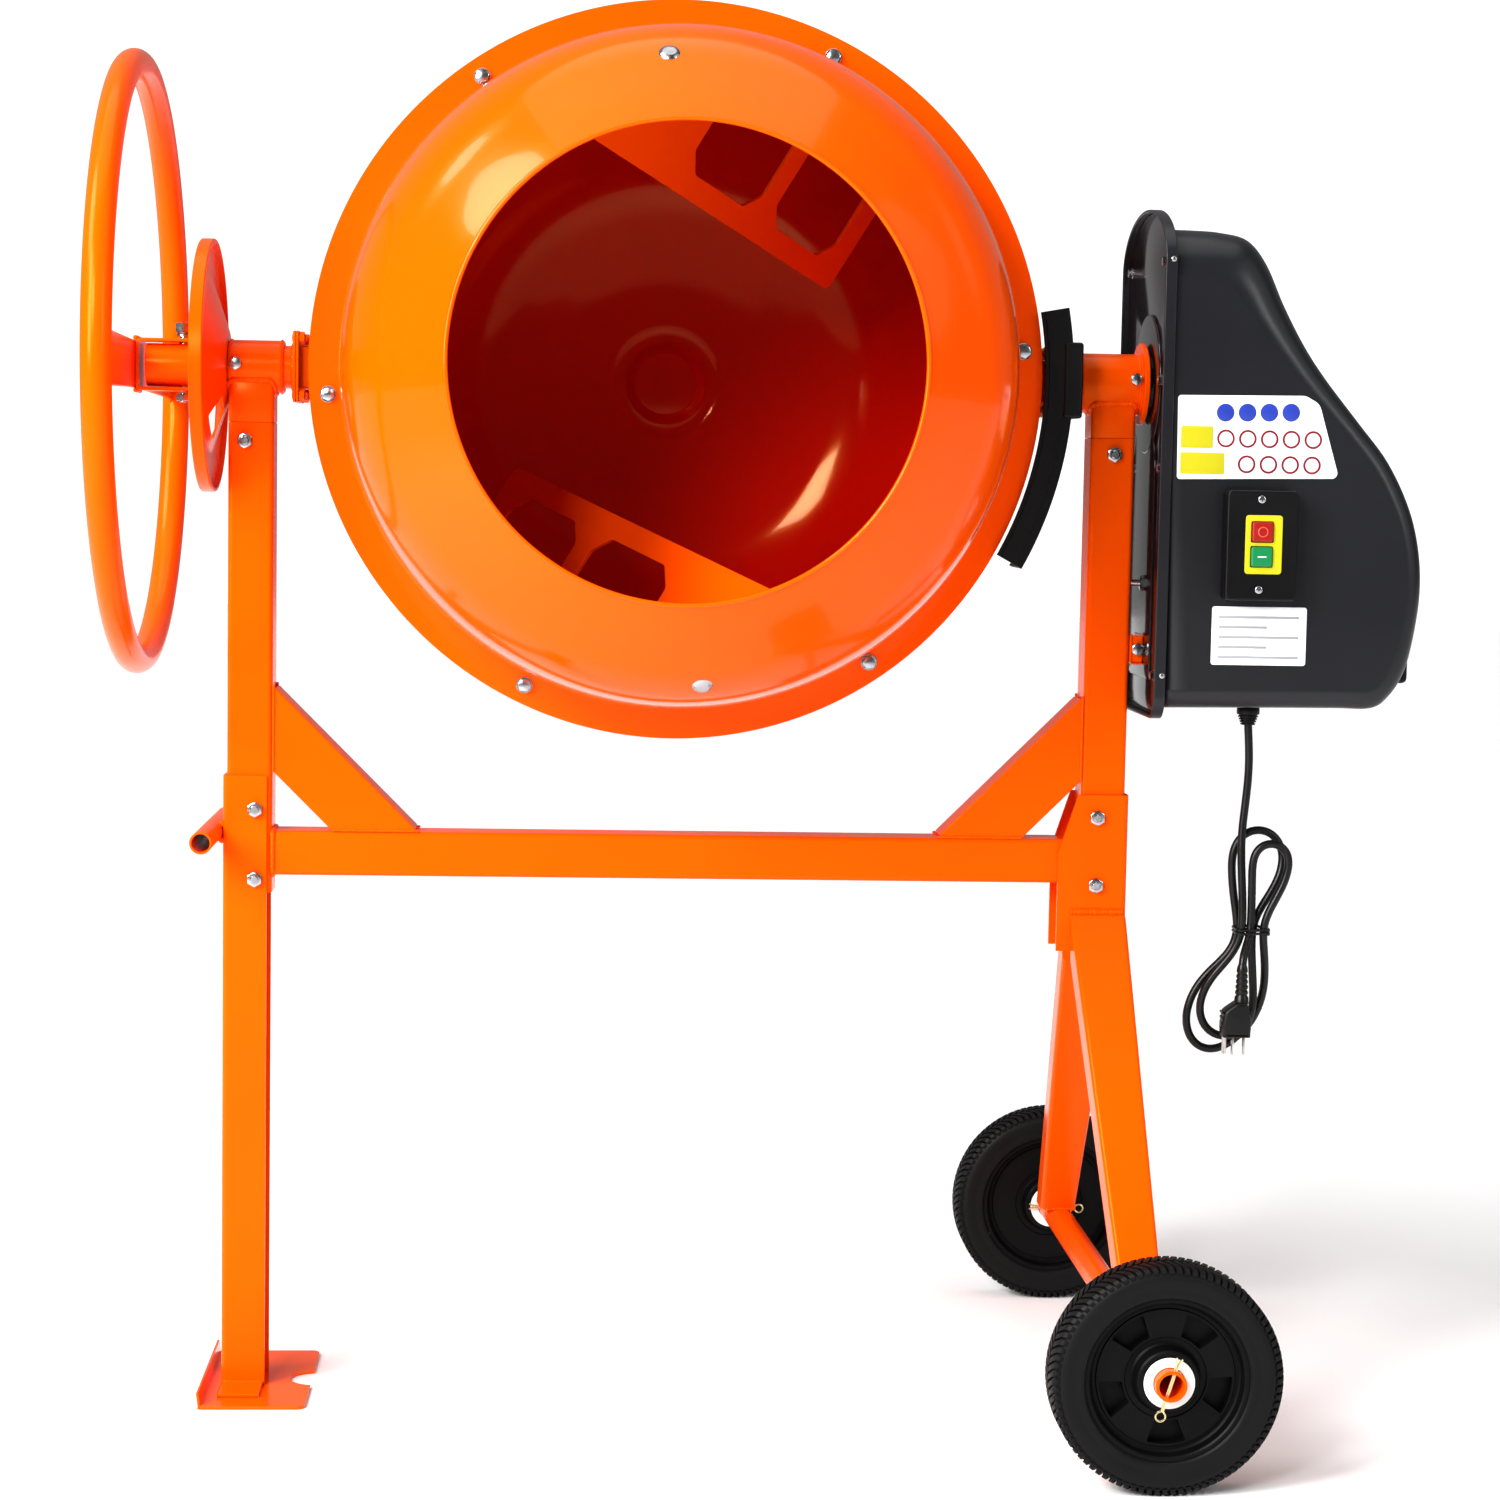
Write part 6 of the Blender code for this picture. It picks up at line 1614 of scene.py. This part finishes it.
def make_switch_box():
    """The switch's box, its yellow surround, two screws and two wells for the push buttons."""
    bottom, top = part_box("switch_box")
    front, back = bottom.y, top.y
    centre_x = (bottom.x + top.x) / 2
    body = bmesh.new()
    outline = rounded(rectangle(bottom.x, bottom.z, top.x, top.z), 0.0050, 5)
    add_prism(body, [[(x - centre_x, z) for x, z in outline]], back - front,
              facing_front(Vector((centre_x, (front + back) / 2, 0.0))), 0.0020, 4)
    wells = []
    for name in ("stop_button", "start_button"):
        button_low, button_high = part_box(name)
        edge = 0.0004
        well = bmesh.new()
        add_box(well, (button_low.x - edge, front - 0.01, button_low.z - edge),
                (button_high.x + edge, front + 0.0110, button_high.z + edge), 0.0)
        wells.append(well)
    carve(body, wells)
    finished("switch_body", body, "plastic", "frame", "switch_box", flat=True)
    surround = bmesh.new()
    frame_outline = rounded(rectangle(0.5057 + AXIS.x, 0.7702, 0.5390 + AXIS.x, 0.8227), 0.0030, 5)
    holes = []
    for name in ("stop_button", "start_button"):
        button_low, button_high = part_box(name)
        edge = 0.0005
        holes.append(rounded(rectangle(button_low.x - edge, button_low.z - edge, button_high.x + edge,
                                       button_high.z + edge), 0.0012, 3))
    add_prism(surround, [frame_outline] + holes, 0.0016,
              facing_front(Vector((0.0, front - 0.0006, 0.0))), 0.0005, 2)
    finished("switch_surround", surround, "yellow", "frame", flat=True)
    screws = bmesh.new()
    for x, z in ((0.5197, 0.8366), (0.5192, 0.7562)):
        add_screw(screws, facing_front(at(x, front, z)), 0.0036, 0.0018)
    finished("switch_screws", screws, "zinc", "frame")


def make_buttons():
    """Push buttons with the usual generic marks: a ring for stop and a bar for start."""
    for name, look, mark in (("stop_button", "red", "bright_red"), ("start_button", "green", "white")):
        bottom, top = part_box(name)
        body = "stop_push_button" if name == "stop_button" else "start_push_button"
        cap = bmesh.new()
        add_box(cap, bottom, top, 0.0018, 4)
        finished(name + "_cap", cap, look, body, name, flat=True)
        centre = (bottom + top) / 2
        sign = bmesh.new()
        if name == "stop_button":
            origin = Vector((centre.x, bottom.y - 0.0001, centre.z))
            ring = [origin + Vector((math.cos(a), 0.0, math.sin(a))) * 0.0042 for a in turns(36)]
            add_sweep(sign, ring, 0.0005, 8, True)
        else:
            add_box(sign, (centre.x - 0.0040, bottom.y - 0.0005, centre.z - 0.0006),
                    (centre.x + 0.0040, bottom.y + 0.0003, centre.z + 0.0006), 0.0003)
        finished(name + "_mark", sign, mark, body)


# ---------------------------------------------------------------- blank labels
def add_label(name, outline, look, thickness=0.0004, lift=0.0, corner=0.003):
    """A thin blank sheet on the housing's front face, lifted off it where it lies on another."""
    near, _ = cover_faces()
    sheet = bmesh.new()
    middle_x = sum(x for x, _ in outline) / len(outline)
    place = facing_front(at(middle_x, near - thickness / 2 - lift, 0.0))
    moved = [(x - middle_x, z) for x, z in outline]
    add_prism(sheet, [rounded(moved, corner, 5)], thickness, place, 0.0001, 1)
    return finished(name, sheet, look, "frame")


def add_disc(name, x, z, radii, look):
    """A flat blank disc, or a ring if two radii are given, on the panel."""
    near, _ = cover_faces()
    disc = bmesh.new()
    loops = [arc((0.0, 0.0), radius, 0, 354, 59) for radius in radii]
    add_prism(disc, loops, 0.0003, facing_front(at(x, near - 0.0006, z)), 0.0001, 1)
    finished(name, disc, look, "frame")


def make_labels():
    """Plain panels with blank shapes where pictures, instructions and ratings would be."""
    panel = [(0.4470, 0.8534), (0.5942, 0.8562), (0.5745, 0.9225), (0.5615, 0.9296), (0.4461, 0.9283)]
    add_label("blank_panel", panel, "label", corner=[0.003, 0.005, 0.012, 0.010, 0.003])
    raised = 0.00045
    pitch = 0.0198
    disc_r = 0.0080
    for i in range(4):
        add_disc(f"blank_disc_{i}", 0.4893 + pitch * i, 0.9134 + 0.00035 * i, [disc_r], "blue")
    for row, x, z, count in ((0, 0.4903, 0.8904, 5), (1, 0.5097, 0.8677, 4)):
        for i in range(count):
            add_disc(f"blank_ring_{row}_{i}", x + pitch * i, z, [disc_r, disc_r - 0.0019], "crimson")
    for i, (right, bottom, top) in enumerate(((0.4786, 0.8814, 0.9010), (0.4894, 0.8583, 0.8775))):
        add_label(f"blank_tab_{i}", rectangle(0.4497, bottom, right, top), "yellow", 0.0003, raised, 0.0012)
    add_label("rating_plate", rectangle(0.4827, 0.6875, 0.5690, 0.7401), "label", corner=0.0025)
    for i in range(5):
        z = 0.6935 + 0.0090 * i
        right = 0.5330 + 0.0290 * ((i + 1) % 2)
        line = rectangle(0.4890, z, right, z + 0.0022)
        add_label(f"rating_line_{i}", line, "print", 0.0003, raised, 0.0005)


# ---------------------------------------------------------------- floor and light
def make_floor():
    floor = bmesh.new()
    bmesh.ops.create_circle(floor, cap_ends=True, radius=14.0, segments=96,
                            matrix=Matrix.Translation((0.0, 3.0, -0.0004)))
    mesh = bpy.data.meshes.new("floor")
    floor.to_mesh(mesh)
    floor.free()
    piece = placed("floor", mesh)
    mesh.materials.append(LOOKS["floor"])


def add_lamp(name, kind, power, direction):
    lamp = placed(name, bpy.data.lights.new(name, kind))
    lamp.data.energy = power
    lamp.rotation_euler = Vector(direction).to_track_quat("-Z", "Y").to_euler()
    return lamp


def add_softbox(name, place, target, size, power):
    lamp = add_lamp(name, "AREA", power, Vector(target) - Vector(place))
    lamp.data.shape = "RECTANGLE"
    lamp.data.size, lamp.data.size_y = size
    lamp.location = place


def add_sun(name, direction, strength, spread):
    lamp = add_lamp(name, "SUN", strength, direction)
    lamp.data.angle = math.radians(spread)


def make_world():
    """White where the camera looks past the object. What lights it is a white wall behind and a dim room."""
    world = bpy.data.worlds.new("studio")
    world.use_nodes = True
    nodes = world.node_tree.nodes
    links = world.node_tree.links
    background = nodes["Background"]
    background.inputs["Color"].default_value = (1.0, 1.0, 1.0, 1.0)
    place = nodes.new("ShaderNodeTexCoord")
    split = nodes.new("ShaderNodeSeparateXYZ")
    links.new(place.outputs["Generated"], split.inputs["Vector"])
    wall = nodes.new("ShaderNodeMapRange")
    wall.interpolation_type = "SMOOTHSTEP"
    wall.inputs["From Min"].default_value = 0.15
    wall.inputs["From Max"].default_value = 0.75
    wall.inputs["To Min"].default_value = ROOM_LIGHT
    wall.inputs["To Max"].default_value = WALL_LIGHT
    links.new(split.outputs["Y"], wall.inputs["Value"])
    path = nodes.new("ShaderNodeLightPath")
    strength = nodes.new("ShaderNodeMix")
    links.new(path.outputs["Is Camera Ray"], strength.inputs["Factor"])
    links.new(wall.outputs["Result"], strength.inputs["A"])
    strength.inputs["B"].default_value = 1.0
    links.new(strength.outputs["Result"], background.inputs["Strength"])
    bpy.context.scene.world = world


def make_light():
    make_world()
    bpy.context.scene.view_settings.view_transform = "Standard"
    bpy.context.scene.view_settings.look = "Medium High Contrast"
    add_sun("key", (0.75, 0.36, -0.75), 2.4, 30.0)
    add_sun("fill", (-0.85, 0.45, -0.40), 0.35, 50.0)
    add_sun("sky", (0.0, 0.05, -1.0), 1.0, 60.0)
    target = (-0.1, 0.0, 0.9)
    add_softbox("left_softbox", (-2.0, -2.0, 1.7), (-0.4, 0.0, 0.8), (0.9, 1.5), 85.0)
    add_softbox("front_softbox", (-1.3, -2.9, 2.0), target, (0.6, 0.8), 46.0)
    add_softbox("right_softbox", (2.6, -2.2, 1.9), target, (0.5, 1.3), 14.0)


def make_mixer():
    set_camera()
    make_cord()
    make_posts()
    make_heads()
    make_crossbeam()
    make_braces()
    make_left_leg()
    make_foot_plate()
    make_tow_handle()
    make_leg_bracket()
    make_wheel_legs()
    make_axle()
    make_split_pins()
    make_wheel("front_wheel")
    make_wheel("rear_wheel")
    make_lock_disc()
    make_drum_cone()
    make_drum_bowl()
    make_drum_fasteners()
    make_ring_gear()
    make_drum_hub()
    make_paddles()
    make_left_trunnion()
    make_right_trunnion()
    make_yoke_arm()
    make_gear_guard()
    make_pivot_bolt()
    make_pinion()
    make_handwheel()
    make_housing_cover()
    make_back_plate()
    make_housing_fasteners()
    make_motor_bracket()
    make_capacitor_box()
    make_switch_box()
    make_buttons()
    make_labels()
    for node, look in (("motor", "motor"), ("motor_pulley", "steel"), ("large_pulley", "iron"),
                       ("drive_belt", "belt"), ("drive_shaft", "steel"), ("drum_spindle", "steel")):
        repaint(node, look)


make_mixer()
make_floor()
make_light()
